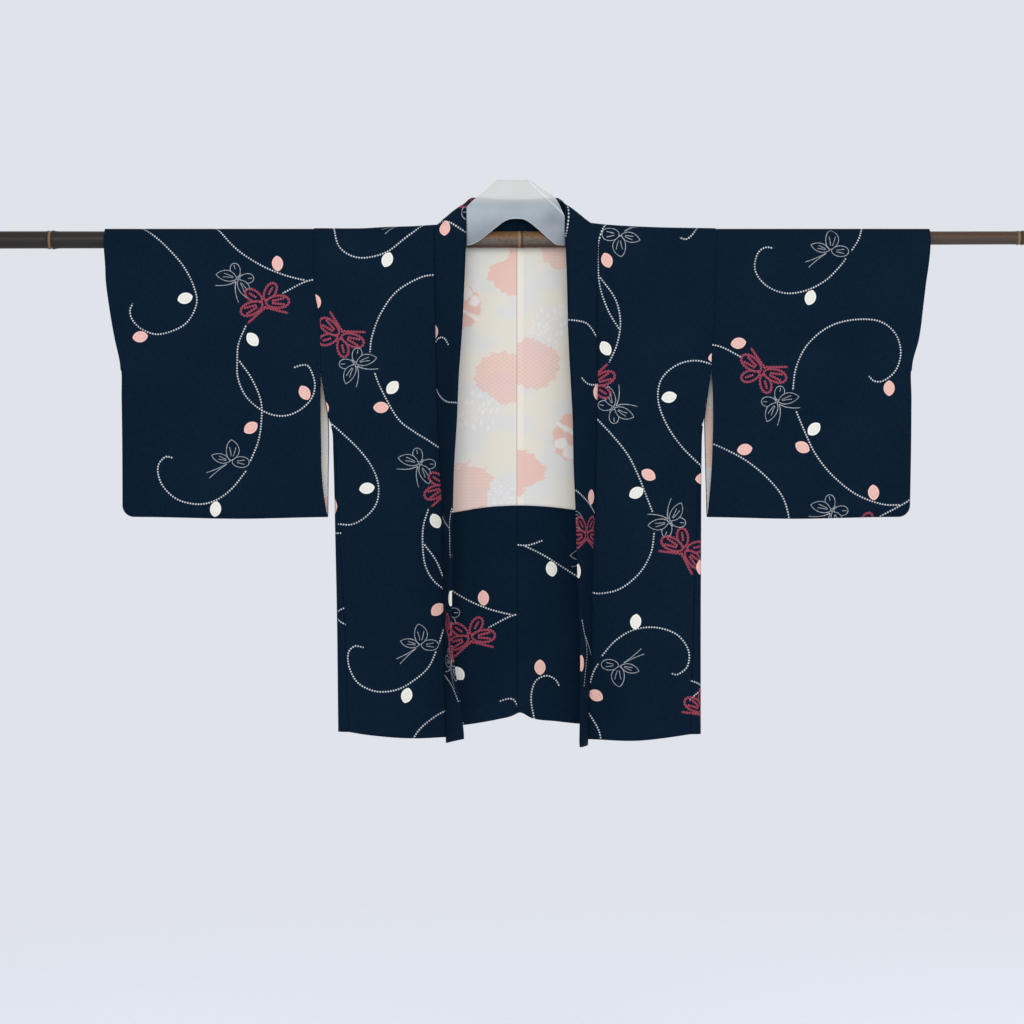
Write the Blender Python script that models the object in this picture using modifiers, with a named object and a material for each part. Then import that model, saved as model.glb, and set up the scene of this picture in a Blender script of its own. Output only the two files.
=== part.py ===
"""A lined haori jacket hung by its sleeves on a bamboo pole, with a clear stay that keeps its collar up.

The frame is in metres. The origin is on the pole's axis, in the plane of the centre back seam. +X runs along the
pole, -Y is the front of the jacket and +Z is up. Every cloth piece is a grid of points on its outer face, worked out
from the charts below, and gets its wall inward. Distances from the centre back seam are positive on both sides.
"""

import math

import bmesh
import bpy
import numpy as np

# Walls and gaps
CLOTH = 0.0015
LINING = 0.0010
COLLAR = 0.0028  # two turned layers
STAY = 0.0015
SEAM = 0.0003

# How the cloth hangs over the pole
TOP_RADIUS = 0.0165  # outer face of the cloth, over the pole
LOW_HALF_DEPTH = 0.0110  # half the hollow's depth, walls included, below SETTLED
SETTLED = -0.35
WAVE = 0.0028  # of the fronts and back, at the hem
WAVE_TOP = -0.08  # the height below which the waves grow
WAVE_GROWTH = 1.3  # the power of the fall with which they grow
FRONT_PHASE, BACK_PHASE = 0.6, 2.1
HEM = -0.770
HEM_FADE = 4  # the power of the height with which the hem's own curve fades out above it

# Sleeves
ARMHOLE_END = -0.203
CUFF_CLOSED = -0.2090
SLEEVE_BOTTOM = -0.4335
SLEEVE_ROUND = 0.009  # half the thickness that the closed edges round off
CORNER_RADIUS = 0.018
LINING_SET_BACK = 0.001  # from the sleeve's free edges, and three times that from the cuff

# Body
NECK_DROP = math.radians(40)  # how far behind the top the back neckline lies
LINING_TOP = math.radians(65)  # how far behind the top the back lining starts
GUSSET_TOP = -0.290
GUSSET_FOLD = 0.7  # the share of its depth that is its rounded fold
TURN_RADIUS = 0.0018  # outer radius of the turned-up back hem
COLLAR_WIDTH = 0.0508
COLLAR_BULGE = 0.0015  # of its sections on the fronts
COLLAR_DROP = 0.009  # of the collar's ends below the hem
COLLAR_END = 12  # the power of the height with which that drop fades out above the hem

LEFT, RIGHT = -1, 1
NAMES = {LEFT: "left", RIGHT: "right"}


def chart(columns, *rows):
    """A table as a dict of named columns."""
    return dict(zip(columns.split(), np.array(rows, float).T))


def read(table, column, where, key="z"):
    """A column's value, straight between the table's rows."""
    return np.interp(where, table[key], table[column])


# The seam between the body and a sleeve, and below it the front layer's free edge
SLEEVE_FRONT = chart(
    "z left right",
    (-0.4335, 0.2955, 0.2968),
    (-0.4010, 0.3010, 0.3000),
    (-0.3650, 0.3044, 0.3030),
    (-0.3167, 0.3054, 0.3050),
    (-0.2714, 0.3062, 0.3056),
    (-0.2350, 0.3060, 0.3050),
    (-0.2030, 0.3060, 0.3030),
    (-0.1650, 0.3066, 0.3045),
    (-0.1217, 0.3080, 0.3075),
    (-0.0858, 0.3145, 0.3089),
    (0.0000, 0.3180, 0.3109),
)
SLEEVE_BACK = chart(
    "z left right",
    (-0.4335, 0.2955, 0.2968),
    (-0.3650, 0.2950, 0.2950),
    (-0.3000, 0.2942, 0.2935),
    (-0.2810, 0.2948, 0.2932),
    (-0.2560, 0.2988, 0.2962),
    (-0.2030, 0.3060, 0.3030),
    (0.0000, 0.3060, 0.3030),
)
SLEEVE_OUTER = chart(
    "z left right",
    (-0.4335, 0.6158, 0.6122),
    (-0.3100, 0.6163, 0.6145),
    (-0.2500, 0.6167, 0.6150),
    (-0.1900, 0.6180, 0.6160),
    (-0.1600, 0.6236, 0.6255),
    (-0.1040, 0.6330, 0.6341),
    (-0.0640, 0.6393, 0.6390),
    (-0.0440, 0.6415, 0.6410),
    (-0.0040, 0.6440, 0.6443),
    (0.0165, 0.6432, 0.6437),
)
BODY_SIDE = chart(
    "z left right gusset",
    (-0.7700, 0.2786, 0.2864, 0.0170),
    (-0.5900, 0.2803, 0.2855, 0.0120),
    (-0.4490, 0.2831, 0.2860, 0.0070),
    (-0.3810, 0.2845, 0.2866, 0.0052),
    (-0.3310, 0.2864, 0.2878, 0.0040),
    (-0.3010, 0.2886, 0.2895, 0.0032),
    (-0.2810, 0.2934, 0.2918, 0.0030),
    (-0.2560, 0.2975, 0.2948, 0.0030),
    (-0.2030, 0.3060, 0.3030, 0.0030),
)
# The collar on the fronts: its seam with the front, and its folded edge
COLLAR_FRONT = chart(
    "z seam_left fold_left seam_right fold_right",
    (-0.7800, 0.1108, 0.0817, 0.1108, 0.0973),
    (-0.7270, 0.1123, 0.0874, 0.1123, 0.0983),
    (-0.6360, 0.1139, 0.1006, 0.1162, 0.0991),
    (-0.5330, 0.1158, 0.1020, 0.1175, 0.0952),
    (-0.4260, 0.1170, 0.1006, 0.1217, 0.0920),
    (-0.3540, 0.1209, 0.0987, 0.1232, 0.0889),
    (-0.2810, 0.1243, 0.0942, 0.1248, 0.0874),
    (-0.2170, 0.1260, 0.0916, 0.1262, 0.0839),
    (-0.1450, 0.1271, 0.0863, 0.1248, 0.0803),
    (-0.0730, 0.1287, 0.0827, 0.1256, 0.0786),
    (0.0000, 0.1295, 0.0796, 0.1264, 0.0758),
)
# The collar from the front of the pole to its centre back seam: how far the section bulges, and its folded edge
COLLAR_NECK = {
    LEFT: chart(
        "bulge x y z",
        (0.0030, 0.0796, -0.0190, 0.0120),
        (0.0060, 0.0796, -0.0140, 0.0300),
        (0.0090, 0.0785, -0.0070, 0.0440),
        (0.0090, 0.0775, -0.0010, 0.0520),
        (0.0080, 0.0750, 0.0050, 0.0575),
        (0.0060, 0.0685, 0.0105, 0.0625),
        (0.0040, 0.0520, 0.0150, 0.0640),
        (0.0030, 0.0270, 0.0178, 0.0640),
        (0.0020, 0.0000, 0.0185, 0.0635),
    ),
    RIGHT: chart(
        "bulge x y z",
        (0.0030, 0.0758, -0.0190, 0.0120),
        (0.0060, 0.0756, -0.0140, 0.0280),
        (0.0070, 0.0745, -0.0070, 0.0410),
        (0.0080, 0.0725, -0.0010, 0.0495),
        (0.0070, 0.0695, 0.0050, 0.0550),
        (0.0060, 0.0630, 0.0105, 0.0615),
        (0.0040, 0.0480, 0.0150, 0.0640),
        (0.0030, 0.0250, 0.0178, 0.0640),
        (0.0020, 0.0000, 0.0185, 0.0635),
    ),
}
NECK_HALF_WIDTH = {LEFT: 0.124, RIGHT: 0.111}
# How far the cloth stands off the top of the pole beside the neck
LIFT = chart(
    "x rise",
    (-0.310, 0.0010),
    (-0.160, 0.0020),
    (-0.143, 0.0045),
    (-0.124, 0.0055),
    (-0.060, 0.0020),
    (0.000, 0.0000),
    (0.060, 0.0035),
    (0.111, 0.0095),
    (0.137, 0.0070),
    (0.208, 0.0030),
    (0.310, 0.0010),
)
FRONT_HEM = chart(
    "x z",
    (-0.279, -0.7680),
    (-0.228, -0.7735),
    (-0.156, -0.7785),
    (-0.111, -0.7770),
    (0.111, -0.7800),
    (0.190, -0.7815),
    (0.265, -0.7722),
    (0.286, -0.7685),
)
BACK_HEM = chart(
    "x z",
    (-0.279, -0.7680),
    (-0.160, -0.7640),
    (-0.082, -0.7580),
    (-0.029, -0.7482),
    (-0.008, -0.7436),
    (0.005, -0.7388),
    (0.021, -0.7472),
    (0.062, -0.7527),
    (0.097, -0.7574),
    (0.180, -0.7640),
    (0.286, -0.7685),
)
FACING_TOP = chart(
    "x z",
    (-0.279, -0.4320),
    (-0.100, -0.4267),
    (-0.051, -0.4189),
    (0.000, -0.4158),
    (0.051, -0.4180),
    (0.092, -0.4228),
    (0.286, -0.4320),
)
POLE = chart(
    "x radius",
    (-0.900, 0.0137),
    (-0.650, 0.0133),
    (-0.200, 0.0129),
    (0.000, 0.0128),
    (0.200, 0.0122),
    (0.650, 0.0105),
    (0.900, 0.0102),
)
POLE_TOP = 0.0126  # the pole's upper side is level
POLE_NODES = chart("x swell", (-0.727, 0.0016), (0.006, 0.0006), (0.786, 0.0012))
NODE_RING = chart("step share", (-0.008, 0.0), (-0.003, 0.8), (0.0, 0.3), (0.003, 1.0), (0.009, 0.0))
STAY_EDGES = chart(
    "x low high",
    (-0.0785, -0.0110, 0.0500),
    (-0.0700, -0.0095, 0.0595),
    (-0.0580, -0.0030, 0.0698),
    (-0.0425, 0.0090, 0.0831),
    (-0.0317, 0.0178, 0.0924),
    (-0.0220, 0.0258, 0.0924),
    (-0.0120, 0.0308, 0.0924),
    (0.0000, 0.0318, 0.0924),
    (0.0100, 0.0308, 0.0924),
    (0.0195, 0.0255, 0.0924),
    (0.0330, 0.0140, 0.0835),
    (0.0484, 0.0000, 0.0728),
    (0.0607, -0.0094, 0.0640),
    (0.0745, -0.0109, 0.0345),
)
STAY_FRONT = -0.0165  # its legs stand in front of the pole
STAY_BEND = 0.0145  # above this height it leans back to the collar
STAY_LEAN = 0.655
STAY_SPREAD = 0.090

WAVES = chart("length share turns", (0.152, 0.65, 1.0), (0.087, 0.35, 2.3))

# Heights that the body and the sleeves share, down to the end of the armhole
ARMHOLE_ROWS = (0.0, -0.020, -0.050, -0.0858, -0.1217, -0.165, ARMHOLE_END)
BODY_ROWS = (-0.230, -0.256, -0.281, -0.2915, -0.310, -0.331, -0.381, -0.449, -0.520, -0.590, -0.680, -0.740)
SLEEVE_ROWS = (CUFF_CLOSED, -0.235, -0.2714, -0.3167, -0.365, -0.401)
OVER_POLE = tuple(math.radians(a) for a in (-60, -30, 0))
NECK_TURNS = tuple(math.radians(a) for a in (15, 30, 45, 60, 75, 90))
HEM_TURNS = tuple(math.radians(a) for a in (0, 60, 120, 180))
FACING_SHARES = (0.15, 0.35, 0.6, 0.8, 1.0)
ROUNDING = tuple(math.radians(a) for a in (0, 30, 60, 90))
BODY_COLUMNS, SLEEVE_COLUMNS, GUSSET_COLUMNS, COLLAR_COLUMNS = 9, 8, 9, 6
STAY_ROWS = 6


def half_depth(z):
    """Half the depth of the hollow at a height: the cloth hangs from the pole's two sides and draws together."""
    settled = np.clip(np.asarray(z, float) / SETTLED, 0, 1)
    return TOP_RADIUS - (TOP_RADIUS - LOW_HALF_DEPTH) * settled * settled * (3 - 2 * settled)


def wave(x, z, phase):
    """The slow waves of hanging cloth: none at the pole, WAVE at the hem."""
    fall = np.clip((WAVE_TOP - np.asarray(z, float)) / (WAVE_TOP - HEM), 0, 1) ** WAVE_GROWTH
    swing = 0
    for length, share, turns in zip(WAVES["length"], WAVES["share"], WAVES["turns"]):
        swing = swing + share * np.sin(2 * math.pi * x / length + turns * phase)
    return WAVE * fall * swing


def front_y(x, z):
    return -half_depth(z) - wave(x, z, FRONT_PHASE)


def back_y(x, z):
    return half_depth(z) + wave(x, z, BACK_PHASE)


def over_pole(x, angle):
    """A point on the cloth over the pole; the angle is 0 on top and grows to the back."""
    y = TOP_RADIUS * math.sin(angle) + 0 * x
    z = (TOP_RADIUS + read(LIFT, "rise", x, "x")) * math.cos(angle)
    return np.stack([x, y, z], axis=-1)


def moved(points, distance):
    """A grid of points moved along its normals, inward when the distance is negative."""
    along = np.gradient(points, axis=0)
    across = np.gradient(points, axis=1)
    normals = np.cross(across, along)
    return points + distance * normals / np.linalg.norm(normals, axis=-1, keepdims=True)


def material(name, colour, roughness):
    shader = bpy.data.materials.new(name)
    shader.use_nodes = True
    principled = shader.node_tree.nodes["Principled BSDF"]
    principled.inputs["Base Color"].default_value = (*colour, 1)
    principled.inputs["Roughness"].default_value = roughness
    principled.inputs["Metallic"].default_value = 0.0
    return shader


def cloth(name, points, wall, finish, collection):
    """A closed wall: the grid is its outer face. Its normals follow the rows crossed with the columns."""
    rows, columns = points.shape[:2]
    index = np.arange(rows * columns).reshape(rows, columns)
    corners = (index[:-1, :-1], index[:-1, 1:], index[1:, 1:], index[1:, :-1])
    faces = np.stack(corners, axis=-1).reshape(-1, 4)
    mesh = bpy.data.meshes.new(name)
    mesh.from_pydata(points.reshape(-1, 3).tolist(), [], faces.tolist())
    welded = bmesh.new()
    welded.from_mesh(mesh)
    bmesh.ops.remove_doubles(welded, verts=welded.verts, dist=1e-6)
    welded.to_mesh(mesh)
    welded.free()
    mesh.shade_smooth()
    piece = bpy.data.objects.new(name, mesh)
    piece.data.materials.append(finish)
    solidify = piece.modifiers.new("wall", "SOLIDIFY")
    solidify.thickness = wall
    solidify.offset = -1
    solidify.use_quality_normals = True
    collection.objects.link(piece)
    return piece


def outward(points, side):
    """Grids run from the outer edge inward; on the right that turns their faces round, so the columns swap."""
    return points[:, ::-1] if side == RIGHT else points


def columns_between(outer, inner, count):
    return outer + (inner - outer) * np.linspace(0, 1, count)


def body_edge(side, z):
    """The body's outer edge: the armhole seam, the open slit below it, then the gusset's seam."""
    if z >= ARMHOLE_END:
        return read(SLEEVE_FRONT, NAMES[side], z) - SEAM / 2
    edge = read(BODY_SIDE, NAMES[side], z)
    return edge if z > GUSSET_TOP else edge - read(BODY_SIDE, "gusset", z) - SEAM


def to_hem(z, x, hem):
    """Brings a height's row down or up so that the lowest row follows the hem."""
    low = read(hem, "z", x, "x")
    return z + (low - HEM) * (z / HEM) ** HEM_FADE


def front_seam(side, z):
    """The front's edge under the collar."""
    return read(COLLAR_FRONT, f"seam_{NAMES[side]}", z)


def front_rows(side):
    """The front from its hem up to the pole."""
    for z in reversed(ARMHOLE_ROWS + BODY_ROWS + (HEM,)):
        x = side * columns_between(body_edge(side, z), front_seam(side, z), BODY_COLUMNS)
        height = to_hem(z, x, FRONT_HEM)
        yield np.stack([x, front_y(x, height), height], axis=-1)


def neckline(side):
    """Angle over the pole and distance from the centre along the front of the neck and the back neckline."""
    half_width = NECK_HALF_WIDTH[side]
    seam = front_seam(side, 0.0)
    for angle in OVER_POLE:
        share = 1 + angle / (math.pi / 2)
        yield angle, seam + (half_width - seam) * share * share
    for turn in NECK_TURNS:
        yield NECK_DROP * math.sin(turn), max(half_width * math.cos(turn), SEAM / 2)


def back_rows(side):
    """The back from just below the neckline down to the turn of its hem."""
    x = side * columns_between(body_edge(side, 0.0), SEAM / 2, BODY_COLUMNS)
    yield over_pole(x, LINING_TOP)
    for z in ARMHOLE_ROWS + BODY_ROWS:
        x = side * columns_between(body_edge(side, z), SEAM / 2, BODY_COLUMNS)
        height = to_hem(z, x, BACK_HEM)
        yield np.stack([x, back_y(x, height), height], axis=-1)


def turned_hem(side):
    """The back's cloth turned up inside: round the hem, then up to its seam with the lining."""
    x = side * columns_between(body_edge(side, HEM), SEAM / 2, BODY_COLUMNS)
    hem = read(BACK_HEM, "z", x, "x")
    centre_y = back_y(x, hem) - TURN_RADIUS
    for turn in HEM_TURNS:
        y = centre_y + TURN_RADIUS * math.cos(turn)
        z = hem + TURN_RADIUS * (1 - math.sin(turn))
        yield np.stack([x, y, z], axis=-1)
    top = read(FACING_TOP, "z", x, "x")
    for share in FACING_SHARES:
        z = hem + (top - hem) * share
        level = HEM + (top.mean() - HEM) * share
        x_here = side * columns_between(body_edge(side, level), SEAM / 2, BODY_COLUMNS)
        y = back_y(x_here, z) - 2 * TURN_RADIUS
        yield np.stack([x_here, y, z], axis=-1)


def body_grids(side):
    """The body's whole grid, and the part of it that the back lining lies in."""
    edge = body_edge(side, 0.0)
    rows = list(front_rows(side))
    for angle, inner in neckline(side):
        x = side * columns_between(edge, inner, BODY_COLUMNS)
        rows.append(over_pole(x, angle))
    lining_start = len(rows)
    rows.extend(back_rows(side))
    whole_back = np.array(rows)
    rows.extend(turned_hem(side))
    return np.array(rows), whole_back[lining_start:]


def back_lining(side, back):
    """The back lining: the back's grid moved in by its wall, cut off at the turned-up hem."""
    inner = moved(outward(back, side), -(CLOTH + SEAM))
    top = read(FACING_TOP, "z", inner[..., 0], "x") + 3 * SEAM
    below = inner[..., 2] < top
    last = np.argmax(below.any(axis=1))
    above, under = inner[last - 1], inner[last]
    share = (above[:, 2] - top[last]) / (above[:, 2] - under[:, 2])
    hem = above + (under - above) * share[:, None]
    return np.concatenate([inner[:last], hem[None]])


def gusset_grid(side):
    """The folded side gusset: a half ellipse round the hollow's side, deeper towards the hem."""
    rows = []
    heights = np.array([z for z in BODY_ROWS if z < GUSSET_TOP + 0.001] + [HEM])
    for z in heights:
        edge = read(BODY_SIDE, NAMES[side], z)
        depth = read(BODY_SIDE, "gusset", z)
        turn = np.radians(np.linspace(-90, 90, GUSSET_COLUMNS))
        x = edge - depth * GUSSET_FOLD * (1 - np.cos(turn))
        x = side * np.concatenate([[edge - depth], x, [edge - depth]])
        turn = np.concatenate([turn[:1], turn, turn[-1:]])
        seam_x = side * (edge - depth)
        height = to_hem(z, np.full_like(x, seam_x), FRONT_HEM)
        front, back = -front_y(seam_x, height), back_y(seam_x, height)
        y = np.where(turn < 0, front, back) * np.sin(turn)
        rows.append(np.stack([x, y, height], axis=-1))
    grid = np.array(rows)
    return grid if side == LEFT else grid[:, ::-1]


def sleeve_loop(inset):
    """One loop round a sleeve from the top down the front, along the bottom and up the back.
    Each station is its side (-1 front, 1 back, 0 both), its angle over the pole or None, its height and its fullness."""
    hanging = ARMHOLE_ROWS + SLEEVE_ROWS
    bottom = SLEEVE_BOTTOM + inset
    radius = SLEEVE_ROUND - inset
    front = [(-1, -angle, 0.0, 1.0) for angle in np.radians((30, 60))]
    front += [(-1, None, z, 1.0) for z in hanging]
    front += [(-1, None, bottom + radius * (1 - math.cos(a)), math.sin(a)) for a in reversed(ROUNDING[1:])]
    back = [(1, None if angle is None else -angle, z, full) for _, angle, z, full in reversed(front)]
    top = [(0, 0.0, 0.0, 1.0)]
    return top + front + [(0, None, bottom, 0.0)] + back + top


def sleeve_grid(side, inset=0.0, set_back=0.0):
    """A sleeve as a flat tube along the pole, closed below the cuff and along the bottom with rounded edges.
    A lining is the same tube, inset all round and set back from the open edges."""
    radius = SLEEVE_ROUND - inset
    rows = []
    for layer, angle, z, fullness in sleeve_loop(inset):
        edge_chart = SLEEVE_BACK if layer > 0 and z < ARMHOLE_END else SLEEVE_FRONT
        inner = read(edge_chart, NAMES[side], z) + SEAM / 2 + set_back
        outer = read(SLEEVE_OUTER, NAMES[side], z if angle is None else TOP_RADIUS * math.cos(angle))
        corner = CORNER_RADIUS - inset
        reach = np.clip(1 - (z - SLEEVE_BOTTOM - inset) / corner, 0, 1)
        outer -= corner * (1 - math.sqrt(1 - reach**2))
        closed = z <= CUFF_CLOSED
        outer -= inset + (3 * set_back if z >= CUFF_CLOSED else 0.0)
        near_edge = outer - radius * (1 - np.cos(ROUNDING))
        rest = columns_between(near_edge[-1], inner, SLEEVE_COLUMNS)[1:]
        x = side * np.concatenate([near_edge, rest])
        full = np.full_like(x, fullness)
        if closed:
            full[: len(ROUNDING)] *= np.sin(ROUNDING)
        if angle is not None:
            y = (TOP_RADIUS - inset) * math.sin(angle) + 0 * x
            height = (TOP_RADIUS - inset) * math.cos(angle) + 0 * x
        else:
            depth = front_y(x, z) + inset if layer < 0 else back_y(x, z) - inset
            y = (0 if layer == 0 else depth) * full
            height = z + 0 * x
        rows.append(np.stack([x, y, height], axis=-1))
    return outward(np.array(rows), -side)


def collar_sections(side):
    """Seam point, folded edge and bulge at each station from the hem to the centre back."""
    name = NAMES[side]
    stations = []
    for z in reversed(ARMHOLE_ROWS + BODY_ROWS + (HEM,)):
        seam_x = read(COLLAR_FRONT, f"seam_{name}", z)
        fold_x = read(COLLAR_FRONT, f"fold_{name}", z)
        seam_z = float(to_hem(z, side * seam_x, FRONT_HEM))
        drop = COLLAR_DROP * (z / HEM) ** COLLAR_END
        slant = drop if side == LEFT else 0.0
        y = front_y(side * seam_x, seam_z) + CLOTH / 2
        forward = math.sqrt(COLLAR_WIDTH**2 - (seam_x - fold_x) ** 2)
        seam = (seam_x, y, seam_z - drop)
        stations.append((seam, (fold_x, y - forward, seam_z - drop + slant), COLLAR_BULGE))
    neck = COLLAR_NECK[side]
    for step, (angle, seam_x) in enumerate(neckline(side)):
        x, y, z = over_pole(np.array(side * seam_x), angle)
        inward = CLOTH / 2
        seam = (seam_x, float(y) - inward * math.sin(angle), float(z) - inward * math.cos(angle))
        stations.append((seam, (neck["x"][step], neck["y"][step], neck["z"][step]), neck["bulge"][step]))
    return stations


def collar_half(side):
    """One half of the collar, from the hem up the front and round the neck to its seam at the centre back.
    Each section runs from its seam to its folded edge in a shallow arc."""
    shares = np.linspace(0, 1, COLLAR_COLUMNS)
    rows = []
    sections = collar_sections(side)
    for step, (seam, fold, bulge) in enumerate(sections):
        seam, fold = np.array(seam), np.array(fold)
        across = (fold - seam) / np.linalg.norm(fold - seam)
        before, after = sections[max(step - 1, 0)], sections[min(step + 1, len(sections) - 1)]
        along = np.array(after[0]) - np.array(before[0])
        face = np.cross(along, across)
        face /= np.linalg.norm(face)
        lead = across * np.linalg.norm(fold - seam) + 4 * bulge * face
        lead /= np.linalg.norm(lead)
        at_neck = step >= len(sections) - len(NECK_TURNS)
        if at_neck:
            away = np.array([0.0, seam[1], seam[2]]) / np.hypot(seam[1], seam[2])
            start = seam + away * (CLOTH / 2 + SEAM + COLLAR / 2 * math.sqrt(1 - np.dot(lead, away) ** 2))
        else:
            start = seam - np.array([SEAM + COLLAR / 2 * math.sqrt(1 - lead[0] ** 2), 0, 0])
        line = start + np.outer(shares, fold - start) + np.outer(4 * shares * (1 - shares) * bulge, face)
        rows.append(line)
    grid = np.array(rows)
    grid[-1, :, 0] = SEAM / 2
    grid[..., 0] *= side
    return grid


def stay_grid():
    """The stay: a sheet whose legs stand in front of the pole and whose arch leans back to the collar."""
    x = np.sort(np.concatenate([STAY_EDGES["x"], (STAY_EDGES["x"][1:] + STAY_EDGES["x"][:-1]) / 2]))
    low = read(STAY_EDGES, "low", x, "x")
    high = read(STAY_EDGES, "high", x, "x")
    shares = np.linspace(0, 1, STAY_ROWS)[:, None]
    z = low + (high - low) * shares
    lean = STAY_LEAN * (1 - (x / STAY_SPREAD) ** 2)
    y = STAY_FRONT + np.clip(z - STAY_BEND, 0, None) * lean
    return np.stack([x + 0 * z, y, z], axis=-1)


def pole(finish, collection):
    """The bamboo pole: a tapered tube with swollen nodes, its upper side level."""
    stops = list(POLE["x"])
    for node in POLE_NODES["x"]:
        stops.extend(node + NODE_RING["step"])
    stops = np.sort(stops)
    swell = np.zeros_like(stops)
    for node, height in zip(POLE_NODES["x"], POLE_NODES["swell"]):
        swell += height * np.interp(stops - node, NODE_RING["step"], NODE_RING["share"], 0, 0)
    plain = read(POLE, "radius", stops, "x")
    curve = bpy.data.curves.new("bamboo_pole", "CURVE")
    curve.dimensions = "3D"
    curve.bevel_depth = POLE["radius"][0]
    curve.bevel_resolution = 8
    curve.use_fill_caps = True
    spline = curve.splines.new("POLY")
    spline.points.add(len(stops) - 1)
    for point, x, radius, extra in zip(spline.points, stops, plain, swell):
        point.co = (x, 0, POLE_TOP - radius, 1)
        point.radius = (radius + extra) / curve.bevel_depth
    curve.materials.append(finish)
    piece = bpy.data.objects.new("bamboo_pole", curve)
    collection.objects.link(piece)
    return piece


def main():
    for old in list(bpy.data.objects):
        bpy.data.objects.remove(old)
    haori = bpy.data.collections.new("haori_on_pole")
    bpy.context.scene.collection.children.link(haori)
    crepe = material("navy_crepe", (0.0045, 0.0130, 0.0270), 0.85)
    lining = material("cream_lining", (0.68, 0.66, 0.58), 0.6)
    bamboo = material("smoked_bamboo", (0.10, 0.065, 0.04), 0.45)
    clear = material("frosted_stay", (0.55, 0.60, 0.64), 0.35)

    for side, name in NAMES.items():
        body, back = body_grids(side)
        cloth(f"body_{name}", outward(body, side), CLOTH, crepe, haori)
        cloth(f"back_lining_{name}", back_lining(side, back), LINING, lining, haori)
        cloth(f"gusset_{name}", gusset_grid(side), CLOTH, crepe, haori)
        cloth(f"sleeve_{name}", sleeve_grid(side), CLOTH, crepe, haori)
        inset = CLOTH + SEAM
        cloth(f"sleeve_lining_{name}", sleeve_grid(side, inset, LINING_SET_BACK), LINING, lining, haori)
        collar = cloth(f"collar_{name}", collar_half(side), COLLAR, crepe, haori)
        collar.modifiers["wall"].offset = 0
    stay = cloth("collar_stay", stay_grid(), STAY, clear, haori)
    stay.modifiers["wall"].offset = 0
    pole(bamboo, haori)


main()
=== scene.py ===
"""The looks of a lined haori jacket that hangs by its sleeves on a bamboo pole, as a Blender add-on.

Everything is in metres, in the frame of the packed model. The origin is on the pole's axis, in the plane of
the centre back seam. +X runs along the pole, -Y is the front of the jacket and +Z is up. Distances from the
centre back seam are positive on both sides. Each piece of cloth is a surface of two parameters, worked out
as a grid of points. What is dyed on it is worked out for the corners of the grid's faces and kept in
attributes that its material reads.
"""

import math
from typing import NamedTuple

import bmesh
import bpy
import numpy as np
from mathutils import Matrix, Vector


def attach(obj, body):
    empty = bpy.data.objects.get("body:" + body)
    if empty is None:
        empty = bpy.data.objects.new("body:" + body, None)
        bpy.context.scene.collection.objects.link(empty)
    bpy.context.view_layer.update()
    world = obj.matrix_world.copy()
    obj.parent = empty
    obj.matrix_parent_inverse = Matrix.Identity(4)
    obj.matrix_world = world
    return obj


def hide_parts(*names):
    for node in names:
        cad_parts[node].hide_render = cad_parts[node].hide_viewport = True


bl_info = {
    "name": "Haori on a bamboo pole",
    "version": (1, 0, 0),
    "blender": (4, 5, 0),
    "location": "3D View > Sidebar > Haori",
    "description": "Makes a lined haori jacket of dyed crepe, the pole it hangs on and a plain studio",
    "category": "Object",
}

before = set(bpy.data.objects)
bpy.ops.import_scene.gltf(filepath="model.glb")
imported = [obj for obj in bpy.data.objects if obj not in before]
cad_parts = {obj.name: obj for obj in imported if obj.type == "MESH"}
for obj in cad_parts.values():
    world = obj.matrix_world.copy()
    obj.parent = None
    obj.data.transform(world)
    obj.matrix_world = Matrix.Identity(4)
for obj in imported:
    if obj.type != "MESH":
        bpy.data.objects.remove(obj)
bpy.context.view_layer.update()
LEFT, RIGHT = -1, 1
NAMES = {LEFT: "left", RIGHT: "right"}
POLE_NODE = "bamboo_pole"
QUARTER = math.pi / 2

# Walls and gaps
CLOTH = 0.0015
LINING = 0.0010
COLLAR = 0.0028  # both layers, at the seam
STAY = 0.0015
EASE = 0.0003  # between the cloth and its lining
SEAM_DEPTH, SEAM_WIDTH = 0.00065, 0.0011  # of the groove along a seam
UNDER_COLLAR = 0.0015  # how far the fronts run on under the collar

# How the cloth hangs over the pole
TOP_RADIUS = 0.0165  # outer face of the cloth, over the pole
LOW_HALF_DEPTH = 0.0110  # half the hollow's depth from SETTLED down
SETTLED = -0.35
WAVE = 0.0028  # height of the slow waves at the hem
WAVE_TOP = -0.08  # where they start
WAVE_GROWTH = 1.3  # the power of the fall by which they grow
FRONT_PHASE, BACK_PHASE = 0.6, 2.1
HEM = -0.770
HEM_FADE = 4  # the power of the height by which a hem's own line fades upwards
TURN_RADIUS = 0.0018  # of the turned-up back hem

# Sleeves
ARMHOLE_END = -0.203
SEAM_FADE = 0.01  # over this height the armhole's groove starts
CUFF_CLOSED = -0.2090  # below it the cuff is sewn shut
SLEEVE_BOTTOM = -0.4335
SLEEVE_ROUND = 0.009  # radius of its closed edges
SLEEVE_SAG = 0.0032  # how far its bottom sags
SAG_AT, SAG_WIDTH = 0.435, 0.10
CORNER_RADIUS = 0.018
LINING_SET_BACK = 0.001

# Body and collar
NECK_DROP = math.radians(40)  # how far round the pole the neckline goes down the back
LINING_TOP = math.radians(65)
GUSSET_START, GUSSET_TOP = -0.281, -0.2915
GUSSET_FOLD = 0.7  # how far the folded gusset stands out, as a share of its depth
COLLAR_WIDTH = 0.0508
COLLAR_BULGE = 0.0015
COLLAR_DROP = 0.009  # how far its ends hang below the fronts
COLLAR_END = 12  # the power of the height by which that fades upwards
COLLAR_PINCH = 0.4  # how thick its very ends are, as a share
PINCHED_ROWS = (-2, 3)
TUCK_EDGE = 0.0008  # half the width of the step beside the lining's tuck
TUCK_FADE = 0.02
FULL_EDGE, FULL_SPREAD = 0.0012, 0.009  # how far the lining's lower edge stands out, and how high up

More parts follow.
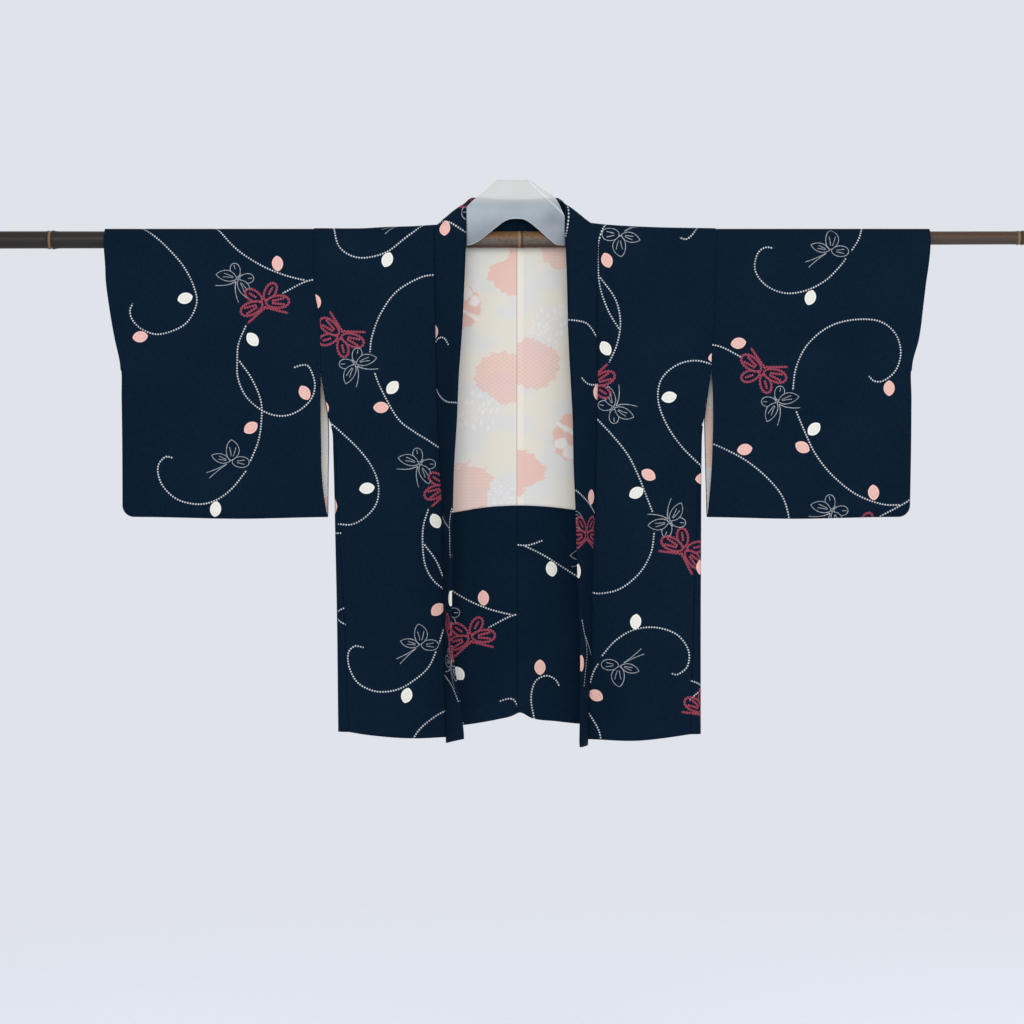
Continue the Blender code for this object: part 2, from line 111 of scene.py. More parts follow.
# Grids: how many columns or rows there are, and about how wide a piece is, to count and space its columns
SEAM_STEPS = np.array((0.0007, 0.0014, 0.0022))  # extra columns beside a seam
BODY_COLUMNS, BODY_WIDTH = 52, 0.18
SLEEVE_WIDTH, SLEEVE_INSIDE = 0.32, 0.31
LINING_WIDTH = 0.30
COLLAR_SECTION, COLLAR_LENGTH = 0.035, 1.02
ROUND_STEPS = 8
GUSSET_STEPS = 25
FOLD_STEPS = 9
FRONT_TURNS = np.linspace(-QUARTER, 0, 7)[:-1]  # rows over the pole: its front, the neckline, and its back
NECKLINE_TURNS = NECK_DROP * np.sin(np.linspace(0, QUARTER, 13))
BACK_TURNS = np.radians((48, 57, 68, 79))
HEM_TURNS = np.radians((0, 22, 45, 67, 90, 90, 112, 135, 157, 180))  # the turned-up part starts at the pair
OVER_POLE = np.radians((-60, -30, 0))  # sections of the collar over the pole, and round the neck
NECK_TURNS = np.radians((15, 30, 45, 60, 75, 90))


def chart(text, *plain):
    """A table as a dict of its named columns. Its lengths are in millimetres, and the columns named after
    it are plain numbers."""
    names, *rows = text.strip().split("\n")
    columns = zip(names.split(), np.array([row.split() for row in rows], float).T)
    return {name: column if name in plain else column / 1000 for name, column in columns}


def paths(text):
    """Curves, as arrays of the points that they run through. A comma ends a point, and a semicolon a
    curve."""
    return [np.array([point.split() for point in path.split(",")], float) for path in text.split(";")]


SLEEVE_FRONT = chart("""
    z left right
    -433.5 295.5 296.8
    -401 301 300
    -365 304.4 303
    -316.7 305.4 305
    -271.4 306.2 305.6
    -235 306 305
    -203 306 303
    -165 306.6 304.5
    -121.7 308 307.5
    -85.8 314.5 308.9
    0 318 310.9
""")
SLEEVE_BACK = chart("""
    z left right
    -433.5 295.5 296.8
    -365 295 295
    -300 294.2 293.5
    -281 294.8 293.2
    -256 298.8 296.2
    -203 306 303
    0 306 303
""")
SLEEVE_OUTER = chart("""
    z left right
    -433.5 616.4 613.8
    -310 617 616
    -250 617.8 616.4
    -190 619.5 617.2
    -160 626.2 625.5
    -104 635.8 633.2
    -64 640.8 638
    -44 641.5 641
    -4 644 644.3
    16.5 643.2 643.7
""")
BODY_SIDE = chart("""
    z left right gusset
    -770 279.4 287.2 17
    -590 281.4 287.2 12
    -449 284.3 287.8 7
    -381 285.7 288 5.2
    -331 287.2 288.6 4
    -301 288.6 289.5 3.2
    -281 293.4 291.8 3
    -256 297.5 294.8 3
    -203 306 303 3
""")
COLLAR_FRONT = chart("""
    z seam_left fold_left seam_right fold_right
    -780 110.8 81.7 110.8 97.3
    -727 112.3 87.4 112.3 98.3
    -636 113.9 100.6 116.2 99.1
    -533 115.8 102 117.5 95.2
    -426 117 100.6 121.7 92
    -354 120.9 98.7 123.2 88.9
    -281 124.3 94.2 124.8 87.4
    -217 126 91.6 126.2 83.9
    -145 127.1 86.3 124.8 80.3
    -73 128.7 82.7 125.6 78.6
    0 129.5 79.6 126.4 75.8
""")
COLLAR_NECK = {
    LEFT: chart("""
        bulge x y z
        2.5 79.6 -19 12
        3.4 79.6 -14 30
        4.2 79 -7 46
        4.5 78.5 -1 56
        4 75.5 5 62.5
        3.5 69 10.5 65.5
        3 52 15 65.5
        3 27 17.8 64
        2 0 18.5 63.5
    """),
    RIGHT: chart("""
        bulge x y z
        2.5 75.8 -19 12
        4.5 75.6 -14 28.5
        5.2 75 -7 43.5
        5 73.7 -1 53.5
        4.8 70.5 5 60.2
        4.2 64 10.5 64.8
        3 48 15 65.5
        3 25 17.8 64
        2 0 18.5 63.5
    """),
}
NECK_HALF_WIDTH = {LEFT: 0.124, RIGHT: 0.111}
LIFT = chart("""
    x rise
    -310 1
    -235 1.2
    -205 3
    -160 4.4
    -124 6.5
    -60 2
    0 0
    60 3.5
    111 9.5
    137 7
    208 3
    310 1
""")
FRONT_HEM = chart("""
    x z
    -279 -765.8
    -228 -774.5
    -156 -779
    -111 -777
    111 -780.4
    190 -782.5
    265 -773.4
    286 -769.7
""")
BACK_HEM = chart("""
    x z
    -279 -768
    -160 -764
    -82 -759.2
    -29 -750.5
    -8 -745.5
    5 -740
    21 -747.8
    62 -753.6
    97 -757.4
    180 -764
    286 -768.5
""")
FACING_TOP = chart("""
    x z
    -279 -432
    -100 -426.7
    -51 -418.9
    0 -415.8
    51 -418
    92 -422.8
    286 -432
""")
WAVES = chart("""
    length share turns
    152 0.65 1
    87 0.35 2.3
""", "share", "turns")
# Creases: from one end to the other, how wide, and how far they stand out, or in below 0
FRONT_CREASES = chart("""
    x1 z1 x2 z2 width depth
    -128 0 -190 -75 7 2.2
    -150 -4 -205 -90 11 -1.4
    -305 -10 -292 -240 10 -1.6
    -262 -200 -244 -560 16 1.8
    -215 -320 -205 -790 13 -1.6
    -165 -130 -158 -520 14 -1.4
    -250 -560 -268 -800 15 2
    -390 -30 -350 -190 20 1.6
    -345 -10 -352 -110 8 -1
    -480 -120 -430 -400 24 -1.8
    -560 -90 -590 -360 18 1.6
    -330 -230 -340 -430 10 1.2
    133 0 170 -110 8 1.8
    296 -20 288 -230 9 -1.6
    268 -60 262 -280 8 0.9
    170 -150 178 -480 14 -1.6
    225 -300 232 -640 15 1.8
    196 -500 186 -800 12 -1.4
    240 -610 272 -790 14 2.2
    330 -20 345 -210 12 1.4
    420 -80 470 -300 22 -1.8
    560 -120 545 -380 20 1.6
    600 -220 590 -420 12 -1
""")
BACK_CREASES = chart("""
    x1 z1 x2 z2 width depth
    -20 -10 -90 -150 12 2
    30 -10 110 -170 13 -1.8
    -150 -60 -135 -420 18 -2.2
    -230 -140 -215 -560 15 2
    -290 -20 -280 -260 10 1.4
    -70 -300 -85 -790 16 2
    60 -350 50 -790 14 -1.8
    170 -90 160 -500 17 2
    250 -200 240 -700 15 -2
    290 -20 284 -240 9 1.3
    -400 -60 -440 -350 22 -1.8
    -540 -80 -520 -380 20 1.8
    380 -50 350 -330 18 1.8
    500 -100 540 -390 22 -2
""")

POLE = chart("""
    x radius
    -900 13.7
    -650 13.3
    -200 12.9
    0 12.8
    200 12.2
    650 10.5
    900 10.2
""")
POLE_TOP = 0.0126
POLE_SIDES = 96
POLE_STEP, NODE_STEP = 0.02, 0.0006  # distance between its rows, and at its nodes
NODE_SLANT, NODE_TURN = 0.0006, 40  # how far a node's ring leans, and how that turns from node to node
UNEVEN = 0.00012  # how far it is from round, how often round it, how that twists and how it swells
UNEVEN_SIDES, UNEVEN_TWIST, UNEVEN_SWELL = 3, 11, 9
SHARP = math.radians(50)  # edges beyond this angle stay sharp
POLE_NODES = chart("""
    x swell
    -727 1.6
    6 0.6
    786 1.2
""")
# A node along the pole: the scar that the sheath leaves, a groove, and the ridge above it
NODE_RING = chart("""
    step share
    -10 0
    -6 0.22
    -3.2 0.85
    -2 0.55
    -0.8 0.1
    0.6 0.25
    2.2 1
    5 0.6
    9 0.15
    14 0
""", "share")
POLE_END = chart("""
    in share
    0 0.965
    0 0.74
    1.2 0.7
    2 0.4
    2.2 0
""", "share")

STAY_EDGES = chart("""
    x low high
    -78.5 -11 50
    -70 -9.5 59.5
    -58 -3 69.8
    -42.5 9 83.8
    -31.7 17.8 95
    -22 25.8 95.2
    -12 30.8 95.2
    0 31.8 95.2
    10 30.8 95.2
    19.5 25.5 95
    33 14 84.8
    48.4 0 72.8
    60.7 -9.4 64
    74.5 -10.9 34.5
""")
STAY_FRONT = -0.0165
STAY_BEND = 0.0145  # where it starts to lean back
STAY_LEAN = 0.655  # its slope there, at its middle
STAY_SPREAD = 0.090  # half the width over which it leans
STAY_SOFT = 0.002  # how softly it bends
STAY_ROWS, STAY_COLUMNS = 36, 90
STAY_FOLD = chart("""
    x1 z1 x2 z2 width depth
    10 103 84 26 2.5 1.2
""")

# What is dyed on the cloth, in millimetres: each figure's place, its turn clockwise from straight down, and
# its kind
PINK, WHITE = 1, 2
SPREAD, FOLDED = 1, 2
REPEAT = 689.5
# One repeat of the bolt, from its left selvage and down from its upper end
BOLT = {
    "vines": paths("""
        12 -25, 53 -6, 95 23, 129 69, 144 112, 125 150, 87 165, 55 151, 45 123; 145 -72, 154 -39,
        175 -3, 212 37, 259 66, 318 86; 326 83, 303 92, 282 101; 225 151, 209 183, 207 222, 217 256,
        240 282, 282 292, 314 276, 330 245, 324 220, 300 218; 212 214, 228 240, 240 268, 248 315,
        237 378, 212 409, 173 427, 131 423, 100 406, 84 378, 88 360, 106 359; 139 587, 137 549, 150 518,
        181 491, 228 480, 271 491, 300 518, 306 548, 298 573, 275 583
    """),
    "buds": (
        (128, 109, 75, WHITE), (56, 170, 80, PINK), (270, 56, -5, PINK), (231, 173, -38, WHITE),
        (314, 257, -28, PINK), (228, 312, 56, PINK), (173, 437, 12, WHITE), (48, 513, 80, PINK),
        (287, 582, 0, PINK), (173, 646, 45, WHITE), (151, 675, -60, PINK), (61, 679, 78, PINK),
    ),
    "wings": ((207, 84, 40, SPREAD), (192, 359, 59, FOLDED), (106, 618, -38, SPREAD)),
    "red": ((250, 120, -14), (85, 570, -152)),
}
# The fronts, from the centre back seam and down from the pole's axis; the collar from its seam to its fold
DRAWN = {
    ("sleeve", LEFT): {
        "vines": paths("""
            -634 -44, -596 -29, -575 -12, -548 11, -519 44, -502 79, -500 105, -518 134, -556 149,
            -583 142, -599 127, -603 112, -599 102; -502 -84, -489 -50, -463 -12, -435 18, -400 41,
            -368 55, -344 62, -330 65; -317 64, -329 67, -344 74, -364 85; -422 135, -434 164, -436 190,
            -435 217, -422 246, -396 268, -368 276, -342 269, -321 250, -315 226, -324 200, -335 197,
            -348 201; -433 190, -413 219, -399 254, -399 289, -404 317, -416 346; -422 360, -446 389,
            -473 407, -501 412, -532 404, -554 382, -560 356, -549 340, -537 341
        """),
        "buds": (
            (-373, 39, -5, PINK), (-517, 93, 75, WHITE), (-587, 153, 82, PINK), (-412, 157, -38, WHITE),
            (-331, 240, -28, PINK), (-415, 294, 56, PINK), (-470, 419, 10, WHITE),
        ),
        "wings": ((-435, 63, 36, SPREAD), (-446, 346, 59, FOLDED)),
        "red": ((-394, 100, -14),),
    },
    ("body", LEFT): {
        "vines": paths("""
            -256 -62, -274 -54, -286 -34, -285 -16, -278 11, -260 26, -236 30, -203 21, -175 0,
            -157 -12, -134 -36, -112 -78, -108 -120; -125 56, -151 61, -188 83, -213 118, -226 153,
            -229 176; -222 209, -212 234, -186 280, -160 301, -142 312, -118 328; -302 278, -275 301,
            -245 330, -225 358, -216 386, -219 412, -234 432, -256 445, -278 445; -138 421, -146 448,
            -147 478, -143 509, -130 533, -109 550; -145 476, -126 502, -113 533; -110 597, -117 617,
            -121 630; -126 643, -138 668, -160 688, -187 703, -219 706, -247 693, -261 669, -263 646,
            -253 635, -240 637; -169 792, -152 765, -128 745, -106 733; -284 581.5, -270 576; -284 593,
            -268 601; -294 459, -285 459, -275 459
        """),
        "buds": (
            (-202, 33, 22, WHITE), (-314, 99, 0, PINK), (-194, 232, 42, WHITE), (-212, 263, 88, PINK),
            (-302, 265, 10, PINK), (-234, 389, 80, WHITE), (-289, 417, 0, PINK), (-127, 440, -25, WHITE),
            (-124, 578, 45, PINK), (-172, 712, 15, WHITE),
        ),
        "wings": (
            (-172, -32, 59, FOLDED), (-252, 195, -40, SPREAD), (-152, 351, 40, SPREAD),
            (-151, 634, 54, FOLDED),
        ),
        "red": ((-276, 151, -150), (-108, 386, -14)),
    },
    ("body", RIGHT): {
        "vines": paths("""
            254 -1, 264 1, 275 -8, 282 -24, 286 -45, 266 -86, 215 -98, 170 -74, 148 -38, 136 -16, 127 5,
            126 33, 129 74, 142 112, 159 141; 129 60, 153 94, 161 129, 156 164, 144 192; 111 265,
            124 280, 150 308, 173 337, 189 369, 202 402, 211 425; 302 366, 286 353, 256 323, 233 289,
            220 252, 225 219, 249 197, 279 190, 308 197; 214 458, 209 489, 192 520, 162 545, 131 553,
            109 550; 132 651, 153 627, 181 610, 216 606, 249 617, 267 641, 266 666, 251 679, 241 678;
            127 662, 119 676, 114 693; 105 733, 114 743, 128 768, 132 792; 271 689, 295 697; 269 720,
            278 711, 293 703
        """),
        "buds": (
            (140, 34, -20, PINK), (138, 171, -30, WHITE), (205, 368, -60, PINK), (186, 396, 60, WHITE),
            (237, 247, 78, WHITE), (310, 185, 80, PINK), (290, 374, 85, PINK), (288, 512, 0, PINK),
            (185, 597, 8, WHITE), (123, 712, -60, PINK),
        ),
        "wings": (
            (161, -5, -124, FOLDED), (151, 263, -130, SPREAD), (238, 441, 146, SPREAD),
            (160, 665, -121, FOLDED),
        ),
        "red": ((116, 227, 166), (261, 485, 35), (297, 736, 35)),
    },
    ("sleeve", RIGHT): {
        "vines": paths("""
            398 15, 386 14, 374 25, 371 50, 388 73, 417 85, 450 81, 481 65, 505 41, 512 31; 521 19,
            534 -4, 542 -50, 540 -90, 523 -130; 295 164, 319 169, 350 185; 430 235, 435 201, 452 166,
            483 139, 520 127, 562 128, 588 146, 598 175, 591 204, 572 221, 557 222, 549 215; 435 268,
            449 301, 465 334, 491 367, 528 397, 568 413, 597 415; 620 402, 601 414, 567 432; 294 315,
            325 328, 360 347, 393 374, 415 402, 425 435, 426 448
        """),
        "buds": (
            (457, 92, 18, WHITE), (345, 163, 80, PINK), (580, 233, 0, PINK), (463, 296, 45, WHITE),
            (445, 324, -62, PINK), (355, 328, 78, PINK), (556, 395, -5, PINK),
        ),
        "wings": ((488, 19, 59, FOLDED), (406, 254, -38, SPREAD), (491, 422, 40, SPREAD)),
        "red": ((382, 207, -153), (535, 457, -14)),
    },
    ("facing", RIGHT): {
        "vines": paths("""
            -4 477, 17 478, 39 471; 12 479, 44 495, 95 527, 140 550; 28 755, 22 718, 29 691, 46 682,
            60 688, 66 698; 160 600, 200 575, 245 590, 260 630, 235 665, 195 660
        """),
        "buds": ((54, 515, -10, WHITE), (36, 669, 0, PINK), (220, 690, 20, WHITE)),
        "wings": ((118, 495, 25, SPREAD), (200, 495, 30, SPREAD)),
        "red": ((170, 690, 150),),
    },
    ("collar", LEFT): {
        "vines": paths("""
            2 -32, 18 -27, 34 -19, 52 -9; 0 162, 4 157, 13 154, 21 157, 25 162, 28 166; 0 234, 6 242,
            17 250, 30 255, 41 256, 54 257; 3 432, 22 441, 45 450; 55 415, 49 430, 46 444, 47 456,
            48 470, 49 483, 50 494; 2 674, 19 680, 33 687, 44 700, 50 713
        """),
        "buds": ((17, -16, 0, PINK), (-3, 145, 0, PINK), (53, 558, -8, WHITE)),
        "wings": ((69, -32, -139, SPREAD), (44, 658, 35, SPREAD)),
        "red": ((34, -68, -170), (52, 616, 70)),
    },
    ("collar", RIGHT): {
        "vines": paths("""
            50 -68, 48 -56, 45 -44, 45 -30, 48 -16, 51 -2; 52 128, 36 129, 21 132, 11 140, 2 152;
            33 217, 24 225, 13 228, 0 227; 52 391, 28 406, 14 416, 2 426; 48 588, 43 604, 35 619,
            31 630, 29 641, 34 658, 39 675, 42 687; 37 613, 22 627, 4 642
        """),
        "buds": ((1, 239, 0, PINK), (13, 402, -5, PINK), (55, 515, 0, WHITE), (53, 653, 0, PINK)),
        "wings": ((73, 432, 20, SPREAD),),
        "red": ((27, 459, 0),),
    },
}
# The turned-up left hem repeats the left sleeve's front, this many metres further across and down
DRAWN["facing", LEFT] = DRAWN["sleeve", LEFT]
FACING_SHIFT = {LEFT: (0.3205, 0.5215), RIGHT: (0, 0)}
# Where the backs lie on the bolt: across at the centre seam, down at the pole's axis, and which way up
BACKS = {
    ("body", LEFT): (355.7, -268.3, 1),
    ("body", RIGHT): (358.8, 346.3, -1),
    ("sleeve", LEFT): (644.3, 17.2, 1),
    ("sleeve", RIGHT): (-291.7, 351.0, 1),
}
BACK_TOP = -95
# The lining's figures, from the centre back seam and down from the pole's axis, with their sizes
ROUNDEL, LEAF, CLOUD, BLOSSOM, WREATH = 1, 2, 3, 4, 5
LINING_FIGURES = {
    LEFT: (
        (-24.8, 217, 0, ROUNDEL, 43.5), (0, 52, 0, LEAF, 43), (-90, 105, 0, WREATH, 36),
        (-78, 396, 0, CLOUD, 47), (-64, 268, 180, BLOSSOM, 44), (-26, 402, 90, BLOSSOM, 30),
        (-180, 180, 200, LEAF, 42), (-190, 340, 0, ROUNDEL, 40), (-302, 446, 0, CLOUD, 45),
        (-480, 240, 0, LEAF, 42),
    ),
    RIGHT: (
        (26.2, 193, 0, ROUNDEL, 42.5), (0, 364, 180, LEAF, 43), (66, 20, 0, CLOUD, 27.5),
        (95, 309, 180, WREATH, 42), (56, 134, 0, BLOSSOM, 40), (160, 120, 0, ROUNDEL, 40),
        (190, 330, 40, LEAF, 45), (302, 306, 0, CLOUD, 52), (470, 200, 0, ROUNDEL, 42),
    ),
}

# How near a face has to be, in metres, for a figure or a vine to be worked out for it
FIGURE_REACH = {"buds": 0.020, "wings": 0.048, "red": 0.056}
LINING_REACH = 1.35  # as a share of the figure's size
VINE_REACH = 0.008
PATH_POINTS = 40  # on a vine's curve, for each of the points that it is given by
AT_ONCE = 4096  # how many corners are compared with a vine's curve at a time
BUD_LENGTH, BUD_WIDTH = 0.0242, 0.0172

# Meshes and the stage
WELD, NO_LENGTH = 1e-6, 1e-7  # points closer than the first become one; edges shorter than the second go
FLOOR = np.linspace(-5, 5, 41)
SENSOR = 36  # width of the camera's sensor in millimetres


def tone(red, green, blue):
    """A colour as the eye reads it, 0 to 255, turned into the linear numbers that shaders use."""
    share = np.array((red, green, blue)) / 255
    linear = np.where(share <= 0.04045, share / 12.92, ((share + 0.055) / 1.055) ** 2.4)
    return tuple(float(value) for value in linear)


def colour_property(name, description, shade):
    """A colour that a user may change, given as the eye reads it."""
    return bpy.props.FloatVectorProperty(
        name=name, description=description, subtype="COLOR", size=3, min=0, max=1, default=tone(*shade)
    )


def length_property(name, description, default):
    """A length that a user may change."""
    return bpy.props.FloatProperty(
        name=name, description=description, unit="LENGTH", min=0.0, precision=4, default=default
    )


def power_property(name, description, default):
    """A lamp's power that a user may change."""
    return bpy.props.FloatProperty(name=name, description=description, default=default, min=0)


class HaoriCut(bpy.types.PropertyGroup):
    """Sizes of the cloth pieces that may be changed by hand."""

    cell: length_property("Cell", "Size of the cells of the cloth's grids", 0.0045)
    lining_cell: length_property("Lining cell", "Size of the cells of the linings' grids", 0.006)
    tuck: length_property("Tuck", "Width of the tuck beside the lining's centre seam", 0.0106)
    tuck_rise: length_property("Tuck rise", "How far that tuck stands out", 0.0011)
    roll: length_property("Collar roll", "How much fuller the collar is at its folded edge", 0.0006)
    collar_layer: length_property("Collar layer", "Thickness of each of the collar's two layers", 0.0011)


class HaoriDye(bpy.types.PropertyGroup):
    """Colours of the crepe and the sizes of its dots."""

    navy: colour_property("Navy", "Ground colour of the crepe", (4, 20, 34))
    navy_light: colour_property("Navy, light", "The tops of the crepe's pebbles", (11, 29, 46))
    dot_white: colour_property("Dot white", "Undyed dots of the vines and thin wings", (194, 198, 200))
    bud_white: colour_property("Bud white", "Undyed buds", (226, 224, 214))
    bud_pink: colour_property("Bud pink", "Pink buds", (226, 180, 169))
    wing_red: colour_property("Wing red", "Rings in the strokes of the red butterflies", (168, 74, 90))
    wine: colour_property("Wine", "Ground of those strokes", (84, 26, 46))
    pitch: length_property("Dot pitch", "Distance between the dots of a vine", 0.0042)
    vine: length_property("Vine width", "Width of a vine's dots", 0.0024)
    ring: length_property("Ring pitch", "Distance between the rings of the red strokes", 0.0043)
    speck: length_property("Speck pitch", "Distance between the dots of the white wings", 0.0026)


class HaoriLining(bpy.types.PropertyGroup):
    """Colours of the lining silk."""

    cream: colour_property("Cream", "Ground colour of the lining", (209, 203, 189))
    cool: colour_property("Cool white", "Greyer patches of the lining", (202, 201, 196))
    pink: colour_property("Pink", "Figures on the lining", (214, 172, 160))
    drawn: colour_property("Drawn", "Lines and flowers left white", (216, 214, 208))
    faint: colour_property("Faint", "Flowers that hardly show", (203, 200, 202))
    warm: colour_property("Warm", "The tuck at the centre seam", (217, 209, 196))


class HaoriPole(bpy.types.PropertyGroup):
    """Colours of the pole and the stay."""

    bamboo: colour_property("Bamboo", "Upper side of the smoked bamboo", (108, 77, 46))
    # Painted sheen: the grey band along the pole's lower front stands for light that it reflects
    painted_sheen: colour_property("Sheen", "Greyer front of the smoked bamboo", (90, 82, 76))
    # Partly painted shade: the pole's dark lower side is the soot of smoking and shade as well
    soot_and_shade: colour_property("Soot and shade", "Lower side of the smoked bamboo", (70, 44, 30))
    cut: colour_property("Cut end", "Sawn end of the bamboo", (176, 148, 110))
    stay: colour_property("Stay", "The frosted sheet", (172, 183, 190))
    # Painted light: the upper part is lighter where it leans back into the light, over the pale room
    stay_lit_top: colour_property("Stay top", "Its upper part, which leans back", (206, 205, 200))
    # Painted shade: the foot is darker where it stands in front of the dark collar
    stay_shaded_foot: colour_property("Stay foot", "Its lower part", (132, 140, 147))
    stay_cover: bpy.props.FloatProperty(
        name="Stay cover",
        description="How much the frosted sheet hides",
        subtype="FACTOR",
        min=0,
        max=1,
        default=0.62,
    )


class HaoriStudio(bpy.types.PropertyGroup):
    """The camera, the lights and the pale room."""

    distance: length_property("Distance", "From the camera to the pole", 5.0)
    view_width: length_property("View width", "What the camera takes in at the pole", 1.600)
    aim_x: length_property("Aim across", "How far left of the back's seam the camera points", 0.0078)
    aim_z: length_property("Aim down", "How far below the pole the camera points", 0.426)
    floor_z: length_property("Floor", "Distance of the floor below the pole", 1.45)
    room: colour_property("Room", "The pale room", (224, 227, 234))
    key_power: power_property("Key", "Power of the main light in watts", 102)
    fill_power: power_property("Fill", "Power of the other lights in watts", 24)


GROUPS = {
    "haori_cut": HaoriCut,
    "haori_dye": HaoriDye,
    "haori_lining": HaoriLining,
    "haori_pole": HaoriPole,
    "haori_studio": HaoriStudio,
}


# Curves and surfaces


def cubic(t, value, slope, row, width=1):
    """The cubic from a row's value to the next row's, with the slopes given there, at the share t of the
    way."""
    start = (1 + 2 * t) * (1 - t) ** 2 * value[row] + t * (1 - t) ** 2 * width * slope[row]
    end = t * t * (3 - 2 * t) * value[row + 1] + t * t * (t - 1) * width * slope[row + 1]
    return start + end


def read(table, column, where, key="z"):
    """A column's value on a smooth curve through the table's rows: between two rows it is the cubic whose
    slopes at them are the table's own mean slopes there."""
    at, value = table[key], table[column]
    where = np.clip(where, at[0], at[-1])
    row = np.clip(np.searchsorted(at, where) - 1, 0, len(at) - 2)
    width = at[row + 1] - at[row]
    return cubic((where - at[row]) / width, value, np.gradient(value, at), row, width)


def step(low, high, where):
    """0 below low, 1 above high and 3t^2 - 2t^3 between them."""
    t = np.clip((where - low) / (high - low), 0, 1)
    return t * t * (3 - 2 * t)


def bell(distance, width):
    """The bell curve exp(-(distance / width)^2)."""
    return np.exp(-((distance / width) ** 2))


def spaced(low, high, size):
    """Evenly spaced values from low to high, about a size apart."""
    return np.linspace(low, high, 1 + max(1, round(abs(high - low) / size)))


def stacked(*parts):
    """Arrays spread to one shape and joined as a new last axis, such as the x, y and z of a grid's
    points."""
    return np.stack(np.broadcast_arrays(*parts), axis=-1)


def unit(vectors):
    """The vectors divided by their lengths."""
    return vectors / np.linalg.norm(vectors, axis=-1, keepdims=True)


def run_of(path):
    """Distance run along a path at each of its points: the sum of the steps up to it."""
    return np.concatenate([[0], np.cumsum(np.linalg.norm(np.diff(path, axis=0), axis=1))])


def smooth_path(points, count, fineness=30):
    """count points on a smooth curve through the given ones, evenly spaced: in each stretch a cubic whose
    slope at a point is half the way from the point before it to the point after it."""
    points = np.asarray(points, float)
    padded = np.concatenate([2 * points[:1] - points[1:2], points, 2 * points[-1:] - points[-2:-1]])
    slope = (padded[2:] - padded[:-2]) / 2
    t = np.linspace(0, len(points) - 1, fineness * (len(points) - 1) + 1)
    row = np.minimum(t.astype(int), len(points) - 2)
    fine = cubic((t - row)[:, None], points, slope, row)
    run = run_of(fine[:, :3])
    even = np.linspace(0, run[-1], count)
    return np.stack([np.interp(even, run, column) for column in fine.T], axis=-1)


def creases(x, z, table):
    """Soft ridges and troughs: each is its depth times a bell of the distance from a line, and swells
    from nothing to full and back along that line as a sine does."""
    total = 0
    for x1, z1, x2, z2, width, depth in zip(*table.values()):
        length = math.hypot(x2 - x1, z2 - z1)
        along = ((x - x1) * (x2 - x1) + (z - z1) * (z2 - z1)) / length**2
        across = ((x - x1) * (z2 - z1) - (z - z1) * (x2 - x1)) / length
        total = total + depth * bell(across, width) * np.sin(math.pi * np.clip(along, 0, 1))
    return total


def half_depth(z):
    """Half the hollow's depth: the pole's at the top, less at SETTLED, and a smooth step between them."""
    return TOP_RADIUS - (TOP_RADIUS - LOW_HALF_DEPTH) * step(0, -SETTLED, -z)


def wave(x, z, phase):
    """Slow waves of hanging cloth: two sines across, which grow as a power of the fall below WAVE_TOP."""
    fall = np.clip((WAVE_TOP - z) / (WAVE_TOP - HEM), 0, 1) ** WAVE_GROWTH
    swing = 0
    for length, share, turns in zip(*WAVES.values()):
        swing = swing + share * np.sin(2 * math.pi * x / length + turns * phase)
    return WAVE * fall * swing


def front_y(x, z):
    """The front of the hanging cloth: half the depth, the waves and the creases."""
    return -half_depth(z) - wave(x, z, FRONT_PHASE) - creases(x, z, FRONT_CREASES)


def back_y(x, z):
    """The same for its back."""
    return half_depth(z) + wave(x, z, BACK_PHASE) + creases(x, z, BACK_CREASES)


def over_pole(x, angle):
    """Cloth over the pole: an arc round it, raised at its top by the lift chart. The angle is 0 on
    top."""
    rise = read(LIFT, "rise", x, "x")
    return stacked(x, TOP_RADIUS * np.sin(angle), (TOP_RADIUS + rise) * np.cos(angle))


def moved(points, distance):
    """A grid moved along its normals, which are the rows' direction crossed with the columns'."""
    return points + distance * unit(np.cross(np.gradient(points, axis=1), np.gradient(points, axis=0)))


def outward(grid, side):
    """Grids run from the outer edge inward; on the right that turns their faces round, so the columns
    swap."""
    return grid[:, ::-1] if side == RIGHT else grid


def between(side, outer, inner, columns):
    """x of a grid's points: straight from the outer edge to the inner one, with closer columns along
    both."""
    near = SEAM_STEPS / BODY_WIDTH
    share = np.unique(np.concatenate([np.linspace(0, 1, columns), near, 1 - near]))
    return side * (outer + (inner - outer) * share[None])


def sunk(x, edge):
    """How far cloth sinks beside a seam: a bell of the distance from it."""
    return SEAM_DEPTH * bell(abs(x) - edge, SEAM_WIDTH)


def body_edge(side, z):
    """The armhole seam, then the free edge below it, then the gusset's seam, which starts with a smooth
    step."""
    seam = read(SLEEVE_FRONT, NAMES[side], z)
    free = read(BODY_SIDE, NAMES[side], z)
    gusset = read(BODY_SIDE, "gusset", z) * step(-GUSSET_START, -GUSSET_TOP, -z)
    return np.where(z >= ARMHOLE_END, seam, free - gusset)


def to_hem(z, x, hem):
    """Brings each row down or up so that the lowest follows the hem; it fades as a power of the
    height."""
    return z + (read(hem, "z", x, "x") - HEM) * (z / HEM) ** HEM_FADE


def neckline(side, angle):
    """Distance of the neck's edge from the centre: a parabola in front, an ellipse's quarter to the
    back."""
    half_width = NECK_HALF_WIDTH[side]
    seam = read(COLLAR_FRONT, f"seam_{NAMES[side]}", 0.0)
    front = seam + (half_width - seam) * (1 + angle / QUARTER) ** 2
    back = half_width * np.sqrt(np.clip(1 - (angle / NECK_DROP) ** 2, 0, 1))
    return np.where(angle <= 0, front, back)


